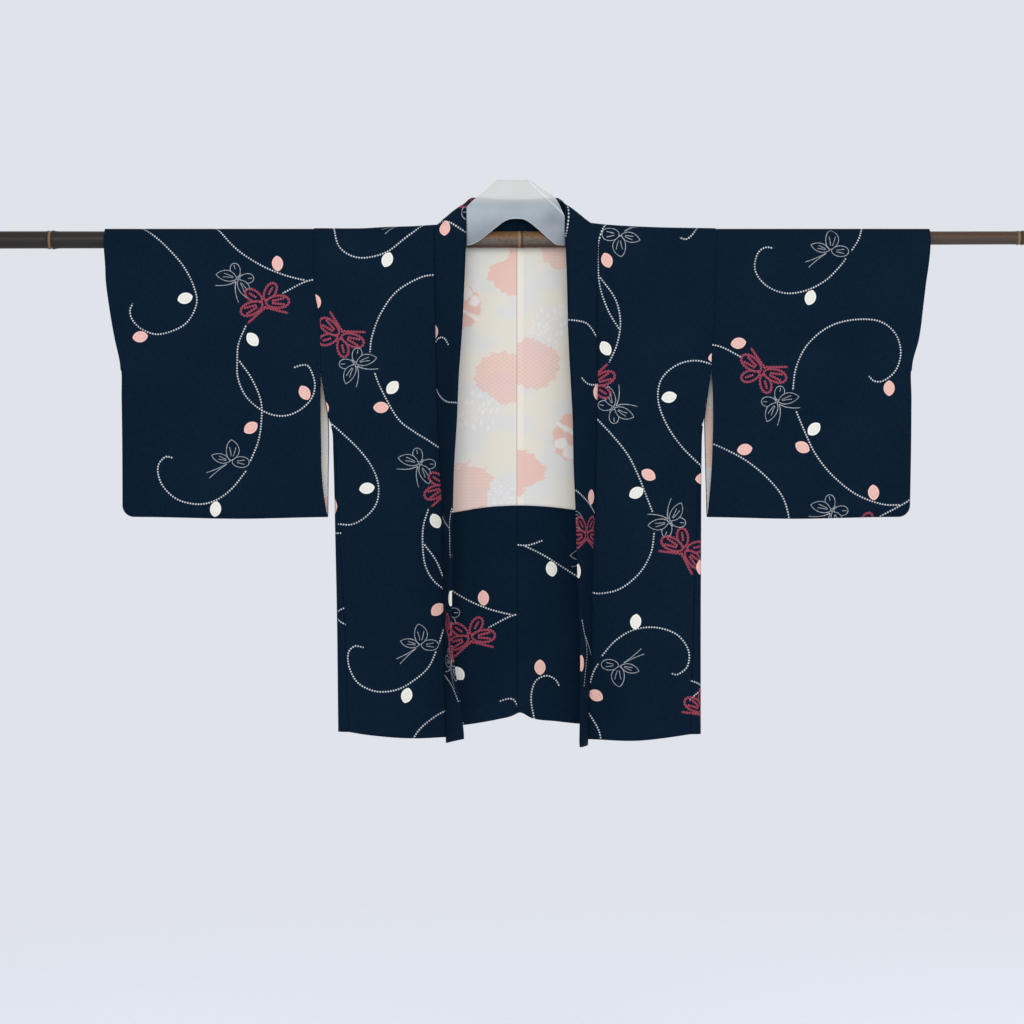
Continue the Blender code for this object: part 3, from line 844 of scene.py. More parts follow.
def body_panel(side, cell):
    """One length of cloth, row by row: up the front, over the pole, down the back, round its hem and up
    inside. Returns its points, their places on the flat cloth and the row at which the turned-up part
    starts."""
    z = spaced(HEM, 0, cell)[:-1, None]
    outer, inner = body_edge(side, z), read(COLLAR_FRONT, f"seam_{NAMES[side]}", z)
    x = between(side, outer, inner - UNDER_COLLAR, BODY_COLUMNS)
    height = to_hem(z, x, FRONT_HEM)
    rows = [stacked(x, front_y(x, height) + sunk(x, outer) + sunk(x, inner), height)]
    drops = [-height]

    angle = np.concatenate([FRONT_TURNS, NECKLINE_TURNS, BACK_TURNS])[:, None]
    outer, inner = body_edge(side, np.float64(0)), neckline(side, angle)
    x = between(side, outer, inner - UNDER_COLLAR * step(0, QUARTER / 2, -angle), BODY_COLUMNS)
    groove = (sunk(x, outer) + sunk(x, inner))[..., None]
    rows.append(over_pole(x, angle) - groove * stacked(0, np.sin(angle), np.cos(angle)))
    drops.append(-TOP_RADIUS * (angle + QUARTER) + 0 * x)

    z = spaced(0, HEM + 2 * TURN_RADIUS, cell)[:, None]
    outer = body_edge(side, z)
    x = between(side, outer, 0, BODY_COLUMNS)
    height = to_hem(z, x, BACK_HEM)
    rows.append(stacked(x, back_y(x, height) - sunk(x, outer) - sunk(x, 0), height))
    drops.append(-math.pi * TOP_RADIUS + height)

    x = between(side, body_edge(side, np.float64(HEM)), 0, BODY_COLUMNS)
    hem = read(BACK_HEM, "z", x, "x")
    turn = HEM_TURNS[:, None]
    y = back_y(x, hem) - TURN_RADIUS + TURN_RADIUS * np.cos(turn)
    rows.append(stacked(x, y, hem + TURN_RADIUS * (1 - np.sin(turn))))
    drops.append(-math.pi * TOP_RADIUS + hem + 0 * turn)
    start = sum(len(block) for block in rows) - len(HEM_TURNS) // 2

    top = read(FACING_TOP, "z", x, "x")
    share = spaced(3 * TURN_RADIUS / -HEM, 1, cell / (top.mean() - HEM))[:, None]
    z = hem + (top - hem) * share
    x = between(side, body_edge(side, HEM + (top.mean() - HEM) * share), 0, BODY_COLUMNS)
    rows.append(stacked(x, back_y(x, z) - 2 * TURN_RADIUS + sunk(x, 0), z))
    drops.append(-z)
    points = np.concatenate(rows)
    drop = np.concatenate(drops)
    drop[start:] = -points[start:, :, 2]
    return points, stacked(points[..., 0], drop), start


def sleeve_half(side, layer, inset, set_back, cell):
    """Half of a sleeve's loop, from the top of the pole to the sleeve's bottom: over the pole, down and
    round. The closed edges round off as a quarter circle, and the lower corner is a quarter circle
    too."""
    bottom, radius = SLEEVE_BOTTOM + inset, SLEEVE_ROUND - inset
    angle = np.linspace(0, QUARTER, ROUND_STEPS)[:-1]
    hanging = spaced(0, bottom + radius, cell)
    bend = np.linspace(QUARTER, 0, ROUND_STEPS)[1:]
    z = np.concatenate([0 * angle, hanging, bottom + radius * (1 - np.cos(bend))])[:, None]
    fullness = np.concatenate([0 * angle + 1, 0 * hanging + 1, np.sin(bend)])[:, None]
    over = np.concatenate([angle, 0 * hanging + QUARTER, 0 * bend + QUARTER])[:, None]
    level = np.where(over < QUARTER, TOP_RADIUS * np.cos(over), z)

    name = NAMES[side]
    inner = read(SLEEVE_FRONT, name, z) + set_back
    if layer > 0:
        inner = np.where(z < ARMHOLE_END, read(SLEEVE_BACK, name, z) + set_back, inner)
    outer = read(SLEEVE_OUTER, name, level) - inset - np.where(z >= CUFF_CLOSED, 3 * set_back, 0)
    corner = CORNER_RADIUS - inset
    reach = np.clip(1 - (z - bottom) / corner, 0, 1)
    outer -= corner * (1 - np.sqrt(1 - reach**2))
    rounding = np.linspace(0, QUARTER, ROUND_STEPS)[None]
    edge = outer - radius * (1 - np.cos(rounding))
    even = np.linspace(0, 1, round(SLEEVE_WIDTH / cell))[1:]
    share = np.unique(np.concatenate([even, 1 - SEAM_STEPS / SLEEVE_INSIDE]))
    inside = edge[:, -1:] + (inner - edge[:, -1:]) * share[None]
    x = side * np.concatenate([edge, inside], axis=1)

    into = inset + sunk(x, inner) * step(ARMHOLE_END, ARMHOLE_END + SEAM_FADE, z)
    closed = 1 - step(CUFF_CLOSED, ARMHOLE_END, z)
    full = np.ones_like(x)
    full[:, : rounding.size] -= closed * (1 - np.sin(rounding))
    depth = np.where(layer < 0, -front_y(x, z), back_y(x, z)) - into
    y = layer * np.where(over < QUARTER, (TOP_RADIUS - into) * np.sin(over), depth * full * fullness)
    sag = SLEEVE_SAG * bell(abs(x) - SAG_AT, SAG_WIDTH) * (z / bottom) ** HEM_FADE
    height = np.where(over < QUARTER, (TOP_RADIUS - into) * np.cos(over), z - sag)
    fall = np.where(over < QUARTER, TOP_RADIUS * (over - QUARTER), -z) + 0 * x
    drop = fall if layer < 0 else -math.pi * TOP_RADIUS - fall
    return stacked(x, y, height), drop


def sleeve_tube(side, cell, inset=0.0, set_back=0.0):
    """The whole loop: the front half downwards, then the back half upwards."""
    front, front_drop = sleeve_half(side, -1, inset, set_back, cell)
    back, back_drop = sleeve_half(side, 1, inset, set_back, cell)
    points = np.concatenate([front, back[::-1]])
    places = stacked(points[..., 0], np.concatenate([front_drop, back_drop[::-1]]))
    return outward(points, -side), outward(places, -side)


def gusset_strip(side, cell):
    """The folded side gusset: half an ellipse round the hollow's side, with a flat lead-in at each
    seam."""
    z = spaced(GUSSET_TOP, HEM, cell)[:, None]
    edge, depth = read(BODY_SIDE, NAMES[side], z), read(BODY_SIDE, "gusset", z)
    turn = np.linspace(-QUARTER, QUARTER, GUSSET_STEPS)[None]
    fold = edge - depth * GUSSET_FOLD * (1 - np.cos(turn))
    x = side * np.concatenate([edge - depth, fold, edge - depth], axis=1)
    turn = np.concatenate([turn[:, :1], turn, turn[:, -1:]], axis=1)
    seam_x = side * (edge - depth)
    height = to_hem(z, seam_x, FRONT_HEM)
    y = np.where(turn < 0, -front_y(seam_x, height), back_y(seam_x, height)) * np.sin(turn)
    places = stacked(x + side * (y - y[:, :1]), -height)
    return outward(stacked(x, y, height), side), outward(places, side)


def collar_sections(side):
    """Each row is a section of the collar: its seam end, its folded edge, its bulge, its drop along the
    band."""
    name = NAMES[side]
    z = spaced(HEM, 0, COLLAR_SECTION)
    seam_x, fold_x = read(COLLAR_FRONT, f"seam_{name}", z), read(COLLAR_FRONT, f"fold_{name}", z)
    drop = COLLAR_DROP * (z / HEM) ** COLLAR_END
    seam_z = to_hem(z, side * seam_x, FRONT_HEM)
    y = front_y(side * seam_x, seam_z) + CLOTH / 2
    forward = np.sqrt(COLLAR_WIDTH**2 - (seam_x - fold_x) ** 2)
    seam = stacked(seam_x, y, seam_z - drop)
    fold = stacked(fold_x, y - forward, seam_z - drop + (drop if side == LEFT else 0))

    angle = np.concatenate([OVER_POLE, NECK_DROP * np.sin(NECK_TURNS)])
    top = over_pole(side * neckline(side, angle), angle)
    inward = CLOTH / 2 * stacked(0, np.sin(angle), np.cos(angle))
    neck = COLLAR_NECK[side]
    seam = np.concatenate([seam, top * (side, 1, 1) - inward])
    fold = np.concatenate([fold, stacked(neck["x"], neck["y"], neck["z"])])
    bulge = np.concatenate([0 * z + COLLAR_BULGE, neck["bulge"]])

    chord = fold - seam
    face = unit(np.cross(np.gradient(seam, axis=0), chord))
    lead = unit(chord + 4 * bulge[:, None] * face)
    away = unit(seam * (0, 1, 1))
    slant = np.sqrt(1 - np.sum(lead * away, axis=1) ** 2)[:, None]
    behind = seam + away * (CLOTH / 2 + COLLAR / 2 * slant)
    beside = seam - COLLAR / 2 * np.sqrt(1 - lead[:, :1] ** 2) * (1, 0, 0)
    at_neck = np.arange(len(seam))[:, None] >= len(seam) - len(NECK_TURNS)
    start = np.where(at_neck, behind, beside)
    start[-1, 0] = fold[-1, 0] = 0
    middle = (start + fold) / 2
    run = np.cumsum(np.linalg.norm(np.gradient(middle, axis=0), axis=1))
    run -= run[len(z) - 1]
    along = np.where(np.arange(len(seam)) < len(z), np.concatenate([-z, 0 * angle]), -run)
    return np.concatenate([start, fold, bulge[:, None], along[:, None]], axis=1)


def collar_band(side, cell, roll, layer):
    """Half of the collar: a doubled sheet folded round a small radius. The middle of a section is a
    parabola from seam to fold; the two layers lie off it by half their distance, and the fold is half a
    circle."""
    sections = smooth_path(collar_sections(side), round(COLLAR_LENGTH / cell))[:, None]
    start, fold, bulge, along = sections[..., :3], sections[..., 3:6], sections[..., 6:7], sections[..., 7]
    chord = fold - start
    width = np.linalg.norm(chord, axis=-1, keepdims=True)
    across = chord / width
    face = unit(np.cross(np.gradient(start, axis=0), across))
    t = spaced(0, 1, cell / COLLAR_WIDTH)
    bend = np.linspace(0, math.pi, FOLD_STEPS)[1:-1]
    share = np.concatenate([t, 0 * bend + 1, t[::-1]])[None, :, None]
    turn = np.concatenate([0 * t, bend, 0 * t + math.pi])[None, :, None]
    middle = start + share * chord + 4 * share * (1 - share) * bulge * face
    normal = unit(face * width - across * 4 * (1 - 2 * share) * bulge)
    tangent = np.cross(normal, np.cross(across, face))
    rows = np.arange(len(sections))[:, None, None]
    pinch = step(*PINCHED_ROWS, np.minimum(rows, len(sections) - 1 - rows))
    apart = (COLLAR - layer) / 2 * (COLLAR_PINCH + (1 - COLLAR_PINCH) * pinch) + roll * pinch * share**3
    points = middle + apart * (np.cos(turn) * normal - np.sin(turn) * tangent)
    points[..., 0] *= side
    across = share * COLLAR_WIDTH + apart * np.minimum(turn, math.pi - turn)
    places = stacked(across[..., 0], along)
    return outward(points, -side), outward(places, -side)


def back_lining_sheet(side, cell, tuck, tuck_rise):
    """The back's own surface, moved in by the cloth's wall, from below the neckline to the turned-up
    hem's top. Beside the centre seam a tuck stands out by a smooth step, and the lower edge fills out as
    a bell does."""
    columns = round(LINING_WIDTH / cell)
    angle = np.linspace(LINING_TOP, QUARTER, 4)[:-1, None]
    x = between(side, body_edge(side, np.float64(0)), 0, columns)
    over = over_pole(x, angle)
    top = read(FACING_TOP, "z", x, "x")
    share = spaced(0, 1, cell / -top.mean())[:, None]
    x = between(side, body_edge(side, share * top.mean()), 0, columns)
    z = share * read(FACING_TOP, "z", x, "x")
    back = np.concatenate([over, stacked(x, back_y(x, z), z)])
    points = moved(outward(back, side), -(CLOTH + EASE))
    x, z = points[..., 0], points[..., 2]
    if side == RIGHT:
        beside = 1 - step(tuck - TUCK_EDGE, tuck + TUCK_EDGE, x)
        points[..., 1] -= tuck_rise * beside * step(0, TUCK_FADE, -z)
    points[..., 1] -= FULL_EDGE * bell(z - read(FACING_TOP, "z", x, "x"), FULL_SPREAD)
    return points, stacked(x, -z)


def pole_tube():
    """A round tube whose radius is the pole's chart plus a swelling at each node; its upper side is
    level. The last rows at each end close it with a shallow hollow."""
    nodes, ring = POLE_NODES["x"], NODE_RING["step"]
    rows = [spaced(POLE["x"][0], POLE["x"][-1], POLE_STEP)]
    rows += [node + spaced(ring[0], ring[-1], NODE_STEP) for node in nodes]
    x = np.unique(np.round(np.concatenate(rows), 5))[:, None]
    angle = np.linspace(0, 2 * math.pi, POLE_SIDES + 1)[None]
    plain = read(POLE, "radius", x, "x")
    swell = 0
    for node, height in zip(nodes, POLE_NODES["swell"]):
        offset = x - node - NODE_SLANT * np.sin(angle + NODE_TURN * node)
        inside = (offset > ring[0]) & (offset < ring[-1])
        swell = swell + np.where(inside, height * read(NODE_RING, "share", offset, "step"), 0)
    uneven = np.sin(UNEVEN_SIDES * angle + UNEVEN_TWIST * x) * np.sin(UNEVEN_SWELL * x + 1)
    radius = plain + swell + UNEVEN * uneven
    tube = [x + 0 * angle, radius, plain + 0 * angle]
    inward, share = POLE_END["in"][:, None], POLE_END["share"][:, None]
    left, right = [
        np.stack(np.broadcast_arrays(x[row] + way * inward + 0 * angle, radius[row] * share, plain[row]))
        for row, way in ((0, 1), (-1, -1))
    ]
    x, radius, plain = np.concatenate([left[:, ::-1], tube, right], axis=1)
    return stacked(x, radius * np.cos(angle), POLE_TOP - plain + radius * np.sin(angle))


def stay_sheet():
    """The stay: straight up in front of the pole, then leaning back by a share that is largest at its
    middle. A soft crease runs down its right side."""
    x = np.linspace(STAY_EDGES["x"][0], STAY_EDGES["x"][-1], STAY_COLUMNS)[None]
    low, high = read(STAY_EDGES, "low", x, "x"), read(STAY_EDGES, "high", x, "x")
    share = np.linspace(0, 1, STAY_ROWS)[:, None]
    z = low + (high - low) * share
    lean = STAY_LEAN * (1 - (x / STAY_SPREAD) ** 2)
    bent = np.sqrt(np.clip(z - STAY_BEND, 0, None) ** 2 + STAY_SOFT**2) - STAY_SOFT
    y = STAY_FRONT + np.clip(bent, 0, None) * lean - creases(x, z, STAY_FOLD)
    return stacked(x, y, z), stacked(x, share)


# What is dyed on the cloth


class Figure(NamedTuple):
    """A figure's place, its turn in degrees, its kind and its size, all lengths in millimetres. A figure
    of the cloth has its true size, so its size here is a metre."""

    across: float
    down: float
    turn: float
    kind: float = 1
    size: float = 1000


def on_panel(kind, side):
    """A panel's design: its front's figures, and on its back those of the bolt, as often as they
    repeat."""
    drawn = {name: list(rows) for name, rows in DRAWN[kind, side].items()}
    if (kind, side) not in BACKS:
        return drawn
    start, level, way = BACKS[kind, side]
    for name, rows in BOLT.items():
        for row in rows:
            for lift in REPEAT * np.arange(-2, 2):
                points = row if name == "vines" else (row[:2],)
                points = [(way * (across - start), way * (down + lift - level)) for across, down in points]
                if max(down for _, down in points) < BACK_TOP:
                    turn = 0 if way > 0 else 180
                    copy = points if name == "vines" else (*points[0], row[2] + turn, *row[3:])
                    drawn[name].append(copy)
    return drawn


def along_vine(corners, path, heading, run):
    """For corners near a path: how far along it they lie, how far to its side, and how much of it is
    left. Each takes the nearest of the path's points and its heading."""
    flat = corners.reshape(-1, 2)
    nearest = np.empty(len(flat), int)
    for first in range(0, len(flat), AT_ONCE):
        chunk = flat[first : first + AT_ONCE]
        nearest[first : first + AT_ONCE] = ((chunk[:, None] - path[None]) ** 2).sum(-1).argmin(1)
    offset = flat - path[nearest]
    ahead = (offset * heading[nearest]).sum(-1)
    beside = offset[:, 0] * heading[nearest, 1] - offset[:, 1] * heading[nearest, 0]
    distance = run[nearest] + ahead
    return stacked(distance, beside, run[-1] - distance).reshape(corners.shape[:2] + (3,))


def vine_layers(corners, vines):
    """For each face the nearest vine and the next nearest, as two attributes, so that crossing vines both
    show."""
    centre = corners.mean(1)
    gaps = np.full((2, len(corners)), np.inf)
    layers = np.tile(np.array((0.0, 1.0, 0.0)), (2, len(corners), 4, 1))
    for vine in vines:
        path = smooth_path(np.array(vine) / 1000, PATH_POINTS * len(vine))
        within = (centre > path.min(0) - VINE_REACH) & (centre < path.max(0) + VINE_REACH)
        here = np.flatnonzero(within.all(1))
        if not len(here):
            continue
        gap = np.sqrt(((centre[here, None] - path[None]) ** 2).sum(-1).min(1))
        here, gap = here[gap < VINE_REACH], gap[gap < VINE_REACH]
        value = along_vine(corners[here], path, unit(np.gradient(path, axis=0)), run_of(path))
        closer = gap < gaps[0, here]
        first, second = here[closer], here[~closer]
        layers[1, first], gaps[1, first] = layers[0, first], gaps[0, first]
        layers[0, first], gaps[0, first] = value[closer], gap[closer]
        better = gap[~closer] < gaps[1, second]
        layers[1, second[better]] = value[~closer][better]
        gaps[1, second[better]] = gap[~closer][better]
    return {"vine_near": layers[0], "vine_next": layers[1]}


def figure_layer(corners, rows, reach):
    """For each face the nearest figure: its corners' places to the figure's side and ahead of it, where
    its turn points, both as shares of its size, and the figure's kind, or 0 where none is near."""
    centre = corners.mean(1)
    layer = np.zeros((len(corners), 4, 3))
    nearest = np.full(len(corners), reach)
    for row in rows:
        figure = Figure(*row)
        place, size = np.array((figure.across, figure.down)) / 1000, figure.size / 1000
        gap = np.linalg.norm(centre - place, axis=1) / size
        here = np.flatnonzero(gap < nearest)
        sine, cosine = math.sin(math.radians(figure.turn)), math.cos(math.radians(figure.turn))
        x, y = np.moveaxis((corners[here] - place) / size, -1, 0)
        layer[here] = stacked(x * cosine + y * sine, y * cosine - x * sine, figure.kind)
        nearest[here] = gap[here]
    return layer


def dye(corners, kind, side, shift=(0, 0)):
    """The attributes of everything that a panel's design puts on some faces, from their corners'
    places."""
    design = on_panel(kind, side)
    corners = corners - shift
    layers = vine_layers(corners, design["vines"])
    for name, reach in FIGURE_REACH.items():
        layers[name] = figure_layer(corners, design[name], reach)
    return layers


# Meshes and objects


def surface(name, points, bolt=None, dyes=()):
    """A mesh of a grid's points. The places on the bolt become its UV map, and dyes, which are pairs of
    the row at which each starts and the function that gives its attributes, become attributes of the
    faces' corners."""
    rows, columns = points.shape[:2]
    index = np.arange(rows * columns).reshape(rows, columns)
    faces = np.stack([index[:-1, :-1], index[:-1, 1:], index[1:, 1:], index[1:, :-1]], axis=-1)
    faces = faces.reshape(-1, 4)
    mesh = bpy.data.meshes.new(name)
    mesh.vertices.add(rows * columns)
    mesh.vertices.foreach_set("co", points.astype(np.float32).ravel())
    mesh.loops.add(faces.size)
    mesh.loops.foreach_set("vertex_index", faces.astype(np.int32).ravel())
    mesh.polygons.add(len(faces))
    mesh.polygons.foreach_set("loop_start", np.arange(0, faces.size, 4, dtype=np.int32))
    mesh.update(calc_edges=True)
    if bolt is not None:
        corners = bolt.reshape(-1, 2)[faces]
        mesh.uv_layers.new(name="bolt").data.foreach_set("uv", corners.astype(np.float32).ravel())
        starts = [row * (columns - 1) for row, _ in dyes] + [len(faces)]
        parts = [dyed(corners[first:last]) for (_, dyed), first, last in zip(dyes, starts, starts[1:])]
        for layer in parts[0] if parts else {}:
            values = np.concatenate([part[layer] for part in parts]).astype(np.float32)
            mesh.attributes.new(layer, "FLOAT_VECTOR", "CORNER").data.foreach_set("vector", values.ravel())
    welded = bmesh.new()
    welded.from_mesh(mesh)
    bmesh.ops.remove_doubles(welded, verts=welded.verts, dist=WELD)
    bmesh.ops.dissolve_degenerate(welded, edges=welded.edges, dist=NO_LENGTH)
    welded.to_mesh(mesh)
    welded.free()
    mesh.shade_smooth()
    return mesh


def add_piece(mesh, finish, node, wall=None, offset=-1):
    """Puts a mesh in the scene as the piece that stands for a node of the model, with a wall if it has
    one."""
    piece = bpy.data.objects.new(mesh.name, mesh)
    bpy.context.scene.collection.objects.link(piece)
    mesh.materials.append(finish_named(finish))
    if wall:
        solidify = piece.modifiers.new("wall", "SOLIDIFY")
        solidify.thickness = wall
        solidify.offset = offset
        solidify.use_quality_normals = True
    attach(piece, "root")
    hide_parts(node)
    return piece


def add_sheet(kind, side, points, bolt, dyes, wall=CLOTH, offset=-1):
    """Adds a piece of cloth or lining silk, with its material and its wall."""
    node = f"{kind}_{NAMES[side]}"
    silk = kind.endswith("lining")
    mesh = surface(f"{node}_silk" if silk else f"{node}_cloth", points, bolt, dyes)
    finish, slot = ("figured_silk", "cream_lining") if silk else ("dyed_crepe", "navy_crepe")
    piece = add_piece(mesh, finish, node, wall, offset)


# Materials


class Field:
    """A number that varies over a surface. Sums, products and the like of fields are new nodes of their
    shader."""

    def __init__(self, shader, socket):
        self.shader = shader
        self.socket = socket

    def __add__(self, other):
        return self.shader.math("ADD", self, other)

    def __sub__(self, other):
        return self.shader.math("SUBTRACT", self, other)

    def __rsub__(self, other):
        return self.shader.math("SUBTRACT", other, self)

    def __mul__(self, other):
        return self.shader.math("MULTIPLY", self, other)

    def __truediv__(self, other):
        return self.shader.math("DIVIDE", self, other)

    def __abs__(self):
        return self.shader.math("ABSOLUTE", self)

    def __neg__(self):
        return self * -1

    __radd__ = __add__
    __rmul__ = __mul__

    def least(self, other):
        """The lower of the two."""
        return self.shader.math("MINIMUM", self, other)

    def most(self, other):
        """The higher of the two."""
        return self.shader.math("MAXIMUM", self, other)

    def step(self, low, high):
        """0 up to low, 1 from high on, and a smooth step between them."""
        inputs = {"Value": self, "From Min": low, "From Max": high}
        made = self.shader.node("ShaderNodeMapRange", inputs, interpolation_type="SMOOTHSTEP")
        return Field(self.shader, made.outputs["Result"])

    def fall(self, low, high):
        """1 up to low, 0 from high on, and a smooth step between them."""
        return 1 - self.step(low, high)

    def above(self, kind):
        """1 where a whole number is above a kind, and 0 where it is that kind or lower."""
        return self.step(kind + 0.4, kind + 0.6)

    def phase(self, period):
        """How far it is from the middle of its period, as a share of that: 0 to one half."""
        return abs(self.shader.math("FRACT", self / period) - 0.5)


class Shader:
    """A material's node tree, with short calls that add nodes to it."""

    def __init__(self, name):
        self.material = bpy.data.materials.new(name)
        self.material.use_nodes = True
        self.tree = self.material.node_tree
        self.finish = self.tree.nodes["Principled BSDF"]

    def node(self, kind, inputs=(), **settings):
        """Adds a node with its settings and inputs."""
        made = self.tree.nodes.new(kind)
        for name, value in settings.items():
            setattr(made, name, value)
        for key, value in dict(inputs).items():
            self.feed(made.inputs[key], value)
        return made

    def feed(self, socket, value):
        """Links a field or a socket to a socket, or sets it to a number or a colour."""
        if isinstance(value, Field):
            self.tree.links.new(value.socket, socket)
        elif isinstance(value, bpy.types.NodeSocket):
            self.tree.links.new(value, socket)
        elif hasattr(value, "__len__") and socket.type == "RGBA":
            socket.default_value = (*value, 1.0)
        else:
            socket.default_value = value

    def math(self, operation, *values):
        """The field that a sum or the like makes of its values."""
        made = self.node("ShaderNodeMath", operation=operation)
        for socket, value in zip(made.inputs, values):
            self.feed(socket, value)
        return Field(self, made.outputs[0])

    def hypot(self, x, y):
        """The root of the sum of two squares."""
        return self.math("SQRT", x * x + y * y)

    def parts(self, vector):
        """The x, y and z of a vector, as fields."""
        made = self.node("ShaderNodeSeparateXYZ", {"Vector": vector})
        return [Field(self, socket) for socket in made.outputs]

    def joined(self, x, y):
        return self.node("ShaderNodeCombineXYZ", {"X": x, "Y": y}).outputs[0]

    def attribute(self, name):
        """The three numbers kept in an attribute of the mesh."""
        return self.parts(self.node("ShaderNodeAttribute", attribute_name=name).outputs["Vector"])

    def bolt(self):
        """The place on the flat cloth."""
        return self.node("ShaderNodeUVMap", uv_map="bolt").outputs["UV"]

    def place(self):
        """The place on the piece, in metres."""
        return self.node("ShaderNodeTexCoord").outputs["Object"]

    def noise(self, vector, scale, stretch=None, detail=2.0, roughness=0.5):
        """Noise of 0 to 1, finer with a larger scale; a stretch scales each axis by itself."""
        if stretch:
            vector = self.node("ShaderNodeMapping", {"Vector": vector, "Scale": stretch}).outputs["Vector"]
        inputs = {"Vector": vector, "Scale": scale, "Detail": detail, "Roughness": roughness}
        return Field(self, self.node("ShaderNodeTexNoise", inputs).outputs["Fac"])

    def cells(self, vector, scale, randomness):
        """Distance from the nearest of points that are strewn over cells."""
        inputs = {"Vector": vector, "Scale": scale, "Randomness": randomness}
        return Field(self, self.node("ShaderNodeTexVoronoi", inputs).outputs["Distance"])

    def mix(self, share, first, second):
        """A colour between two, by a share from 0 to 1."""
        made = self.node("ShaderNodeMix", data_type="RGBA")
        sockets = [socket for socket in made.inputs if socket.enabled]
        for socket, value in zip(sockets, (share, first, second)):
            self.feed(socket, value)
        return next(socket for socket in made.outputs if socket.enabled)

    def finished(self, colour, roughness, shine, relief=None, height=0.0, strength=1.0, cover=1.0):
        """The material with its colour, roughness, shine and cover, and with relief, a field of 0 to 1
        that stands for a height in metres."""
        values = {"Base Color": colour, "Roughness": roughness, "Specular IOR Level": shine, "Alpha": cover}
        if relief:
            inputs = {"Height": relief, "Distance": height, "Strength": strength}
            values["Normal"] = self.node("ShaderNodeBump", inputs).outputs["Normal"]
        for name, value in values.items():
            self.feed(self.finish.inputs[name], value)
        return self.material


class Wing(NamedTuple):
    """A butterfly's wing: its turn from where the feelers point, where it starts and ends from the body's
    middle, its width, how far its middle bends, how much fuller it gets outwards, and the slope, start
    and end of its veins."""

    pointed: bool
    turn: float
    near: float
    far: float
    width: float
    bend: float
    fuller: float
    slope: float
    veins: tuple


WHITE_WINGS = {
    SPREAD: (
        Wing(True, 66, 0.0015, 0.0345, 0.0165, 0.0016, -0.22, 0.13, (0.0065, 0.0210)),
        Wing(False, 129, 0.0030, 0.0250, 0.0150, 0.0, 0.20, 0.0, (0.0135, 0.0190)),
    ),
    FOLDED: (
        Wing(True, -48, 0.0015, 0.0315, 0.0135, 0.0, -0.10, 0.13, (0.0065, 0.0180)),
        Wing(True, -122, 0.0015, 0.0335, 0.0200, -0.0025, -0.10, 0.24, (0.0070, 0.0200)),
        Wing(False, 146, 0.0020, 0.0285, 0.0165, 0.0, 0.15, 0.17, (0.0080, 0.0190)),
    ),
}
RED_WINGS = (
    Wing(False, 80, 0.0030, 0.0390, 0.0190, 0.0, 0.25, 0.17, (0.0110, 0.0270)),
    Wing(False, 137, 0.0045, 0.0340, 0.0165, 0.0, 0.20, 0.0, (0.0120, 0.0215)),
)


# Feelers: how they spread, and where they start and end from the butterfly's middle
CURVED, CURVED_FROM, CURVED_TO, CURVED_THIN = 27.0, 0.005, 0.036, 0.62
STRAIGHT, STRAIGHT_FROM, STRAIGHT_TO = 2.7, 0.008, 0.042
RED_SIDEWAYS, RED_AHEAD, RED_FROM, RED_TO = 0.47, 0.883, 0.0075, 0.0385
BODY_TAIL, BODY_HEAD = 0.009, 0.001


def leaf(along, across, length, width):
    """Distance from a leaf's outline, below 0 inside: the leaf is where two equal circles overlap, starts
    at 0 and is as long and as wide as given."""
    half, wide = length / 2, width / 2
    radius = (half * half + wide * wide) / (2 * wide)
    off = abs(across) + (radius - wide)
    return along.shader.hypot(along - half, off) - radius


def loop(along, across, length, width):
    """The same for an ellipse. It holds well near the outline."""
    half, wide = length / 2, width / 2
    shader = along.shader
    along_square = (along - half) * (along - half)
    across_square = across * across
    reach = shader.math("SQRT", along_square * half**-2 + across_square * wide**-2)
    slope = shader.math("SQRT", along_square * half**-4 + across_square * wide**-4)
    return reach * (reach - 1) / slope


def loop_run(along, across, length, width, pitch):
    """Distance run along an ellipse, stretched a little so that it goes round in a whole number of
    pitches."""
    half, wide = length / 2, width / 2
    shader = along.shader
    turn = shader.math("ARCTAN2", across * (1 / wide), (along - half) * (1 / half))
    round_it = math.pi * (half + wide)
    stretch = round(round_it / pitch) * pitch / round_it
    sweep = turn * ((half + wide) / 2) + shader.math("SINE", turn * 2) * ((wide - half) / 4)
    return sweep * stretch


def beaded(line, run, pitch):
    """Distance from the nearest of the points that are set along a line at a pitch."""
    return line.shader.hypot(line, run.phase(pitch) * pitch)


def wing_lines(sideways, ahead, wings, pitch=None):
    """Distance from the outlines and veins of a butterfly's wings, or from points set along them at a
    pitch, and from the area that the wings cover. Each wing is hidden by those before it."""
    lines = covered = None
    for wing in wings:
        sine, cosine = math.sin(math.radians(wing.turn)), math.cos(math.radians(wing.turn))
        length = wing.far - wing.near
        along = sideways * sine + ahead * cosine - wing.near
        share = along / length
        across = sideways * cosine - ahead * sine - wing.bend * 4 * share * (1 - share)
        across_even = across / (1 - wing.fuller / 2 + wing.fuller * share)
        outline = (leaf if wing.pointed else loop)(along, across_even, length, wing.width)
        first, last = wing.veins
        vein = abs(abs(across) - along * wing.slope).most(first - along).most(along - last)
        drawn = abs(outline)
        if pitch:
            drawn = beaded(drawn, loop_run(along, across_even, length, wing.width, pitch), pitch)
            vein = beaded(vein, along, pitch)
        drawn = drawn.least(vein)
        lines = drawn if lines is None else lines.least(drawn.most(-covered))
        covered = outline if covered is None else covered.least(outline)
    return lines, covered


def feelers(line, root, ahead, near, far):
    """The distance from a butterfly's feelers, which run along a line between two distances from its
    middle."""
    return line.most(near - root).most(root - far).most(-ahead)


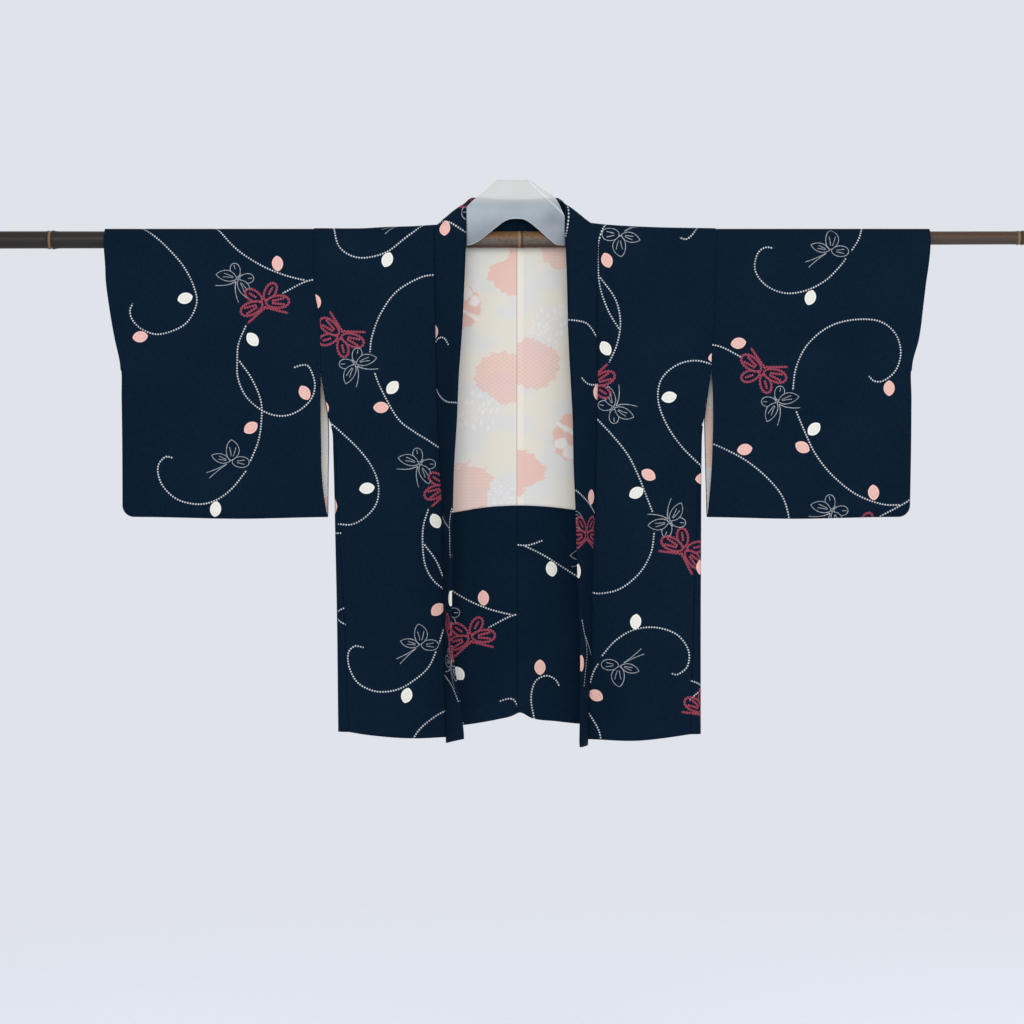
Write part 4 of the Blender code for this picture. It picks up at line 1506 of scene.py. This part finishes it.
def white_butterfly(shader):
    """Distance from the lines of the white butterflies: spread ones, with curved feelers, and folded
    ones."""
    x, ahead, kind = shader.attribute("wings")
    right = abs(x)
    root = shader.hypot(x, ahead)
    body = right.most(-ahead - BODY_TAIL).most(ahead - BODY_HEAD)
    line = abs(right - ahead * ahead * CURVED) * CURVED_THIN
    curved = feelers(line, root, ahead, CURVED_FROM, CURVED_TO)
    spread = wing_lines(right, ahead, WHITE_WINGS[SPREAD])[0].least(curved).least(body)
    line = abs(right - ahead * ahead * STRAIGHT)
    straight = feelers(line, root, ahead, STRAIGHT_FROM, STRAIGHT_TO)
    folded = wing_lines(x, ahead, WHITE_WINGS[FOLDED])[0].least(straight)
    chosen = kind.above(SPREAD)
    return chosen * folded + (1 - chosen) * spread + (1 - kind.above(0))


def red_butterfly(shader, pitch):
    """The same for the rings along the strokes of the red ones, which are larger, and their wings'
    area."""
    x, ahead, kind = shader.attribute("red")
    right = abs(x)
    root = shader.hypot(x, ahead)
    line = abs(right * RED_SIDEWAYS - (ahead - RED_FROM) * RED_AHEAD)
    straight = feelers(line, root, ahead, RED_FROM, RED_TO)
    rings, covered = wing_lines(right, ahead, RED_WINGS, pitch)
    absent = 1 - kind.above(0)
    return rings.least(beaded(straight, root, pitch)) + absent, covered + absent


def vine_cover(shader, name, width, pitch):
    """How much a vine's dots cover each point: full at a dot's middle and little between two dots."""
    run, beside, left = shader.attribute(name)
    bead = (run.phase(pitch) * 2).fall(0.26, 0.74)
    half = (0.50 + 0.50 * bead) * (width / 2)
    cover = (abs(beside) - half).fall(-0.0004, 0.0003)
    inside = run.least(left).step(-pitch * 0.4, pitch * 0.1)
    uneven = 0.72 + 0.46 * shader.noise(shader.bolt(), 42).step(0.30, 0.62)
    return cover * inside * (0.10 + 0.90 * bead) * uneven.least(1)


def bud_cover(shader, bolt):
    """How much a bud's dye covers each point, how light it is there, and which colour it has: white is 1.
    A bud is a leaf with a fine stitched line inside its outline and specks all over."""
    across, ahead, kind = shader.attribute("buds")
    bud = leaf(ahead + BUD_LENGTH / 2, across, BUD_LENGTH, BUD_WIDTH)
    cover = bud.fall(-0.0004, 0.0004) * kind.above(0)
    specks = 0.80 + 0.20 * shader.cells(bolt, 420, 0.7).step(0.05, 0.55)
    stitched = abs(bud + 0.0030).fall(0.0003, 0.0009)
    inside = (0.90 + 0.10 * bud.step(-0.0034, -0.0016) - 0.12 * stitched) * specks
    return cover, inside, kind.above(PINK)


def dyed_crepe():
    """Silk crepe: navy pebbles, with vines of undyed dots, buds and butterflies left in it by tying."""
    dyes = bpy.context.scene.haori_dye
    shader = Shader("dyed_crepe")
    bolt = shader.bolt()
    pebbles = shader.noise(bolt, 620, (1.0, 0.72, 1.0), detail=3.0, roughness=0.65)
    ripple = shader.noise(bolt, 210, (1.6, 0.5, 1.0))
    cloudy = shader.noise(bolt, 9, detail=3.0)
    shade = (pebbles * 0.75 + ripple * 0.35 + cloudy * 0.25).step(0.42, 0.95)
    colour = shader.mix(shade, dyes.navy, dyes.navy_light)

    rings, wings = red_butterfly(shader, dyes.ring)
    red = rings.fall(0.0014, 0.0022)
    colour = shader.mix(red * 0.85, colour, dyes.wine)
    red_cover = red * (0.05 + 0.95 * rings.step(0.0005, 0.0013))
    colour = shader.mix(red_cover, colour, dyes.wing_red)

    thin = white_butterfly(shader).fall(0.0, 0.0008) * wings.step(-0.001, 0.0015)
    beads = shader.cells(bolt, 1 / dyes.speck, 0.5).fall(0.22, 0.58)
    thin_cover = thin * (0.52 + 0.42 * beads)
    colour = shader.mix(thin_cover, colour, dyes.dot_white)

    near = vine_cover(shader, "vine_near", dyes.vine, dyes.pitch)
    vines = near.most(vine_cover(shader, "vine_next", dyes.vine, dyes.pitch)) * (1 - red)
    colour = shader.mix(vines, colour, dyes.dot_white)

    buds, light, white = bud_cover(shader, bolt)
    colour = shader.mix(buds * light, colour, shader.mix(white, dyes.bud_pink, dyes.bud_white))
    raised = red_cover.most(thin_cover).most(vines).most(buds)
    relief = pebbles * 0.7 + ripple * 0.5 + raised * 0.25
    return shader.finished(colour, roughness=0.85, shine=0.04, relief=relief, height=0.0005, strength=0.55)


def lattice(x, y, pitch, line):
    """Double lines of a diamond lattice: 1 on the lines and 0 between them."""
    rising, falling = [
        abs((x * 0.75 + y * way).phase(pitch) - 0.36).fall(line * 0.4, line) for way in (1, -1)
    ]
    return rising.most(falling)


def silk_figures(shader, x, y, kind, ragged, v):
    """How much the lining's pink, white and faint figures cover each point, and the faint ones' hatching.
    x and y are a figure's own, from its middle, as shares of its size."""

    def only(figure):
        return abs(kind - figure).fall(0.4, 0.6)

    radius = shader.hypot(x, y)
    angle = shader.math("ARCTAN2", y, x)
    notched = radius + 0.045 * shader.math("COSINE", angle * 15) + 0.12 * ragged
    roundels = notched.fall(0.94, 0.98) * only(ROUNDEL)
    net = lattice(x, y, 0.160, 0.085)
    # A leaf has a narrow stem, is widest just above its middle and ends blunt; its edge has teeth
    teeth = shader.math("FRACT", y * 2.3 + 0.4) - 0.5
    edge = (0.24 + 0.82 * y.step(-0.72, -0.08)).least(1.06 - 0.66 * y.step(0.10, 0.86)) + 0.16 * teeth
    inside = (abs(x) - edge + 0.35 * ragged).fall(-0.03, 0.03) * abs(y + 0.035).fall(0.83, 0.86)
    leaves = inside * only(LEAF)
    fine = (abs(x) * 0.7 + y).phase(0.11).step(0.30, 0.48)
    clouds = (radius + 0.9 * ragged).fall(0.90, 0.96) * only(CLOUD)
    streaks = v.phase(0.0052).step(0.26, 0.46)
    # A wreath is a ring of plum blossoms, with a white band and two round white flowers on it
    wreaths = notched.fall(0.92, 0.97) * only(WREATH)
    plums = shader.cells(shader.joined(x, y), 2.2, 0.8)
    rims = plums.step(0.30, 0.36) * plums.fall(0.40, 0.46)
    band = abs((x - 0.18) * 0.5 - (y - 0.17) * 0.86).most(0.10 - x).most(x - 0.80)
    white = (band + 0.2 * ragged).fall(0.05, 0.12)
    for across, down, size in ((0.64, -0.24, 0.22), (0.28, -0.58, 0.27)):
        flower = shader.hypot(x - across, y - down)
        white = white.most((flower + 0.25 * ragged).fall(size - 0.05, size + 0.05))
    pink = (roundels * (1 - 0.70 * net)).most(leaves * (1 - 0.35 * fine))
    pink = pink.most(clouds * (0.78 - 0.25 * streaks)).most(wreaths * (1 - 0.5 * rims))
    petals = radius + 0.26 * abs(shader.math("COSINE", angle * 2.5 + 0.6)) + 0.5 * ragged
    blossoms = petals.fall(0.84, 1.10) * only(BLOSSOM)
    hatched = shader.cells(shader.joined(x * 1.9 + y * 0.6, y - x * 0.3), 3.8, 0.9).fall(0.30, 0.50)
    return pink, white * wreaths * 0.9, blossoms, hatched


def figured_silk():
    """Smooth silk: a cream ground with paler patches, pink roundels, leaves, clouds and wreaths, faint
    flowers."""
    tints = bpy.context.scene.haori_lining
    cut = bpy.context.scene.haori_cut
    shader = Shader("figured_silk")
    bolt = shader.bolt()
    u, v, _ = shader.parts(bolt)
    patches = shader.noise(bolt, 11, (1.0, 1.5, 1.0), detail=1.0).step(0.44, 0.56)
    ribs = v.phase(0.0042).step(0.30, 0.50)
    weave = shader.noise(bolt, 900, (1.0, 0.35, 1.0))
    ragged = shader.noise(bolt, 70, (1.0, 1.6, 1.0), detail=1.0) - 0.5
    pink, white, blossoms, hatched = silk_figures(shader, *shader.attribute("figure"), ragged, v)
    tuck = u.fall(cut.tuck - 0.0016, cut.tuck + 0.0006) * u.step(0.0, 0.0001)
    colour = tints.cream
    for cover, tint in (
        (patches, tints.cool),
        (ribs * (1 - patches) * 0.30, tints.cool),
        (blossoms * 0.40, tints.faint),
        (blossoms * hatched * 0.65, tints.drawn),
        (tuck * 0.8, tints.warm),
        (pink * 0.92, tints.pink),
        (white, tints.drawn),
    ):
        colour = shader.mix(cover, colour, tint)
    relief = weave * 0.5 + ribs * 0.15
    return shader.finished(colour, roughness=0.52, shine=0.25, relief=relief, height=0.00015, strength=0.5)


def smoked_culm():
    """Bamboo darkened by smoke: brown above, with a grey band of painted sheen along its lower front and a
    dark lower side that is soot and painted shade, streaked along its length, dark at the nodes."""
    tints = bpy.context.scene.haori_pole
    shader = Shader("smoked_culm")
    place = shader.place()
    x, _, z = shader.parts(place)
    streaks = shader.noise(place, 3.0, (2.5, 90.0, 90.0), detail=4.0, roughness=0.6)
    blotches = shader.noise(place, 1.0, (9.0, 30.0, 30.0), detail=4.0, roughness=0.6)
    fibres = shader.noise(place, 22.0, (1.0, 60.0, 60.0))
    mottle = shader.noise(place, 380, (0.5, 1.0, 1.0))
    height = z / 0.013 + (streaks - 0.5) * 0.4
    end = POLE["x"][-1]
    layers = [
        # painted sheen: a grey band along the lower front
        (height.step(-0.85, -0.55), tints.painted_sheen),
        (height.step(0.00, 0.20), tints.bamboo),
        (streaks.fall(0.36, 0.56) * 0.45, tone(78, 60, 46)),
        (blotches.step(0.52, 0.72) * 0.35, tone(104, 94, 86)),
        (mottle.step(0.46, 0.66) * 0.45, tone(62, 44, 30)),
        (x.fall(-0.66, -0.20) * 0.95, tone(30, 28, 26)),
        (x.step(0.20, 0.62) * 0.75, tone(62, 48, 39)),
    ]
    for node in POLE_NODES["x"]:
        layers.append((abs(x - node - 0.0022).fall(0.0006, 0.0018) * 0.85, tone(40, 28, 20)))
        layers.append((abs(x - node + 0.0024).fall(0.0008, 0.0026) * 0.55, tone(150, 118, 80)))
    layers.append((abs(x).step(end - 0.0026, end - 0.0003), tints.cut))
    # The lowest side starts dark: soot and painted shade
    colour = tints.soot_and_shade
    for cover, tint in layers:
        colour = shader.mix(cover, colour, tint)
    relief = streaks * 0.5 + fibres * 0.3
    return shader.finished(colour, roughness=0.45, shine=0.20, relief=relief, height=0.0003, strength=0.4)


def frosted_sheet():
    """A frosted plastic sheet that lets about a third of the light through. Its colour holds painted light:
    lighter on its upper part, which leans back, with painted shade on its foot and to its lower right, and
    painted highlights along its fold and its lower cut edge."""
    tints = bpy.context.scene.haori_pole
    shader = Shader("frosted_sheet")
    place = shader.place()
    x, _, z = shader.parts(place)
    _, share, _ = shader.parts(shader.bolt())
    haze = shader.noise(place, 26)
    # painted shade over the sheet's lower right
    shaded = x.step(0.018, 0.062) * z.fall(0.026, 0.060)
    x1, z1, x2, z2 = [float(STAY_FOLD[name][0]) for name in ("x1", "z1", "x2", "z2")]
    length = math.hypot(x2 - x1, z2 - z1)
    fold = abs((x - x1) * ((z2 - z1) / length) - (z - z1) * ((x2 - x1) / length))
    # painted highlights along the fold and along the lower cut edge
    painted_highlight = fold.fall(0.0004, 0.0020).most(share.fall(0.006, 0.022))
    colour = tints.stay
    for cover, tint in (
        # painted light on the upper part, then painted shade on the foot
        (z.step(0.052, 0.070), tints.stay_lit_top),
        (z.fall(-0.004, 0.046) * 0.9, tints.stay_shaded_foot),
        (shaded * 0.60, tone(112, 120, 128)),
        (haze.step(0.3, 0.7) * 0.25, tone(206, 212, 216)),
        (painted_highlight * 0.55, tone(232, 235, 236)),
    ):
        colour = shader.mix(cover, colour, tint)
    looks = {"roughness": 0.45, "shine": 0.25, "height": 0.0001, "strength": 0.25}
    return shader.finished(colour, relief=shader.noise(place, 900), cover=tints.stay_cover, **looks)


def pale_floor():
    """A matt floor that fades out far from the jacket, so that it meets the pale room without an edge."""
    shader = Shader("pale_floor")
    place = shader.place()
    x, y, _ = shader.parts(place)
    speckle = shader.noise(place, 60)
    colour = shader.mix(speckle.step(0.3, 0.7) * 0.06, tone(236, 238, 243), tone(210, 212, 217))
    return shader.finished(colour, roughness=0.9, shine=0.1, cover=shader.hypot(x, y).fall(1.2, 4.2))


def finish_named(name):
    """The material of that name, made the first time it is asked for."""
    makers = (dyed_crepe, figured_silk, smoked_culm, frosted_sheet, pale_floor)
    return bpy.data.materials.get(name) or {maker.__name__: maker for maker in makers}[name]()


# Operators


class HAORI_OT_body(bpy.types.Operator):
    """Makes both halves of the body, each from the front hem over the pole to the turned-up back hem."""

    bl_idname = "haori.body"
    bl_label = "Body"
    bl_options = {"REGISTER", "UNDO"}

    def execute(self, context):
        cell = context.scene.haori_cut.cell
        for side in NAMES:
            points, bolt, facing = body_panel(side, cell)
            dyes = [
                (0, lambda corners: dye(corners, "body", side)),
                (facing, lambda corners: dye(corners, "facing", side, FACING_SHIFT[side])),
            ]
            add_sheet("body", side, outward(points, side), outward(bolt, side), dyes)
        return {"FINISHED"}


class HAORI_OT_sleeves(bpy.types.Operator):
    """Makes the sleeves, each a flat tube along the pole."""

    bl_idname = "haori.sleeves"
    bl_label = "Sleeves"
    bl_options = {"REGISTER", "UNDO"}

    def execute(self, context):
        cell = context.scene.haori_cut.cell
        for side in NAMES:
            dyes = [(0, lambda corners: dye(corners, "sleeve", side))]
            add_sheet("sleeve", side, *sleeve_tube(side, cell), dyes)
        return {"FINISHED"}


class HAORI_OT_gussets(bpy.types.Operator):
    """Makes the folded side gussets."""

    bl_idname = "haori.gussets"
    bl_label = "Gussets"
    bl_options = {"REGISTER", "UNDO"}

    def execute(self, context):
        cell = context.scene.haori_cut.cell
        for side in NAMES:
            dyes = [(0, lambda corners: dye(corners, "body", side))]
            add_sheet("gusset", side, *gusset_strip(side, cell), dyes)
        return {"FINISHED"}


class HAORI_OT_collar(bpy.types.Operator):
    """Makes both halves of the doubled collar."""

    bl_idname = "haori.collar"
    bl_label = "Collar"
    bl_options = {"REGISTER", "UNDO"}

    def execute(self, context):
        cut = context.scene.haori_cut
        for side in NAMES:
            dyes = [(0, lambda corners: dye(corners, "collar", side))]
            band = collar_band(side, cut.cell, cut.roll, cut.collar_layer)
            add_sheet("collar", side, *band, dyes, cut.collar_layer, 0)
        return {"FINISHED"}


class HAORI_OT_linings(bpy.types.Operator):
    """Makes the back's lining and the sleeves' linings."""

    bl_idname = "haori.linings"
    bl_label = "Linings"
    bl_options = {"REGISTER", "UNDO"}

    def execute(self, context):
        cut = context.scene.haori_cut
        for side in NAMES:
            rows = LINING_FIGURES[side]
            figures = [(0, lambda corners: {"figure": figure_layer(corners, rows, LINING_REACH)})]
            back = back_lining_sheet(side, cut.cell, cut.tuck, cut.tuck_rise)
            add_sheet("back_lining", side, *back, figures, LINING)
            points, _ = sleeve_tube(side, cut.lining_cell, CLOTH + EASE, LINING_SET_BACK)
            places = stacked(points[..., 0], -points[..., 2])
            add_sheet("sleeve_lining", side, points, places, figures, LINING)
        return {"FINISHED"}


class HAORI_OT_pole(bpy.types.Operator):
    """Makes the bamboo pole."""

    bl_idname = "haori.pole"
    bl_label = "Pole"
    bl_options = {"REGISTER", "UNDO"}

    def execute(self, context):
        mesh = surface("bamboo_culm", pole_tube())
        mesh.set_sharp_from_angle(angle=SHARP)
        add_piece(mesh, "smoked_culm", POLE_NODE)
        return {"FINISHED"}


class HAORI_OT_stay(bpy.types.Operator):
    """Makes the frosted sheet that keeps the collar up."""

    bl_idname = "haori.stay"
    bl_label = "Collar stay"
    bl_options = {"REGISTER", "UNDO"}

    def execute(self, context):
        mesh = surface("frosted_sheet", *stay_sheet())
        add_piece(mesh, "frosted_sheet", "collar_stay", STAY, 0)
        return {"FINISHED"}


class HAORI_OT_stage(bpy.types.Operator):
    """Makes the floor, the lights, the pale room and the camera."""

    bl_idname = "haori.stage"
    bl_label = "Stage"
    bl_options = {"REGISTER", "UNDO"}

    def execute(self, context):
        scene = context.scene
        studio = scene.haori_studio
        aim = np.array((-studio.aim_x, 0.0, -studio.aim_z))
        x, y = np.meshgrid(FLOOR, FLOOR)
        mesh = surface("floor", stacked(x, y, -studio.floor_z))
        mesh.materials.append(finish_named("pale_floor"))
        self.placed(scene, "floor", mesh)

        lights = (
            ("key_light", (-0.3, -4.6, 1.0), 2.8, studio.key_power),
            ("fill_light", (2.6, -3.4, 0.2), 2.6, studio.fill_power),
            ("back_light", (0.8, 3.2, 2.0), 2.4, studio.fill_power),
        )
        for name, place, size, power in lights:
            light = bpy.data.lights.new(name, "AREA")
            light.energy = power
            light.size = size
            self.placed(scene, name, light, place, aim)

        camera = bpy.data.cameras.new("camera")
        camera.sensor_width = SENSOR
        camera.lens = SENSOR * studio.distance / studio.view_width
        scene.camera = self.placed(scene, "camera", camera, aim - (0, studio.distance, 0), aim)
        scene.view_settings.view_transform = "Standard"

        world = bpy.data.worlds.new("pale_room")
        world.use_nodes = True
        surround = world.node_tree.nodes["Background"]
        surround.inputs["Color"].default_value = (*studio.room, 1)
        surround.inputs["Strength"].default_value = 1.0
        scene.world = world
        return {"FINISHED"}

    def placed(self, scene, name, data, place=None, aim=None):
        """Puts a thing in the scene; with a place and an aim, its -Z axis runs from the one to the
        other."""
        thing = bpy.data.objects.new(name, data)
        scene.collection.objects.link(thing)
        if place is not None:
            thing.location = place
            thing.rotation_euler = (Vector(aim) - thing.location).to_track_quat("-Z", "Y").to_euler()
        return thing


OPERATORS = (
    HAORI_OT_stage,
    HAORI_OT_body,
    HAORI_OT_sleeves,
    HAORI_OT_gussets,
    HAORI_OT_collar,
    HAORI_OT_linings,
    HAORI_OT_pole,
    HAORI_OT_stay,
)


class HAORI_PT_panel(bpy.types.Panel):
    """Lists the sizes and colours, and a button for each piece."""

    bl_idname = "HAORI_PT_panel"
    bl_label = "Haori"
    bl_space_type = "VIEW_3D"
    bl_region_type = "UI"
    bl_category = "Haori"

    def draw(self, context):
        for group, kind in GROUPS.items():
            box = self.layout.box()
            box.label(text=kind.__doc__.rstrip("."))
            for name in kind.__annotations__:
                box.prop(getattr(context.scene, group), name)
        for operator in OPERATORS:
            self.layout.operator(operator.bl_idname)


CLASSES = (*GROUPS.values(), *OPERATORS, HAORI_PT_panel)


def register():
    for item in CLASSES:
        bpy.utils.register_class(item)
    for name, kind in GROUPS.items():
        setattr(bpy.types.Scene, name, bpy.props.PointerProperty(type=kind))


def unregister():
    for name in GROUPS:
        delattr(bpy.types.Scene, name)
    for item in reversed(CLASSES):
        bpy.utils.unregister_class(item)


def main():
    register()
    for operator in OPERATORS:
        group, name = operator.bl_idname.split(".")
        getattr(getattr(bpy.ops, group), name)()


if __name__ == "__main__":
    main()
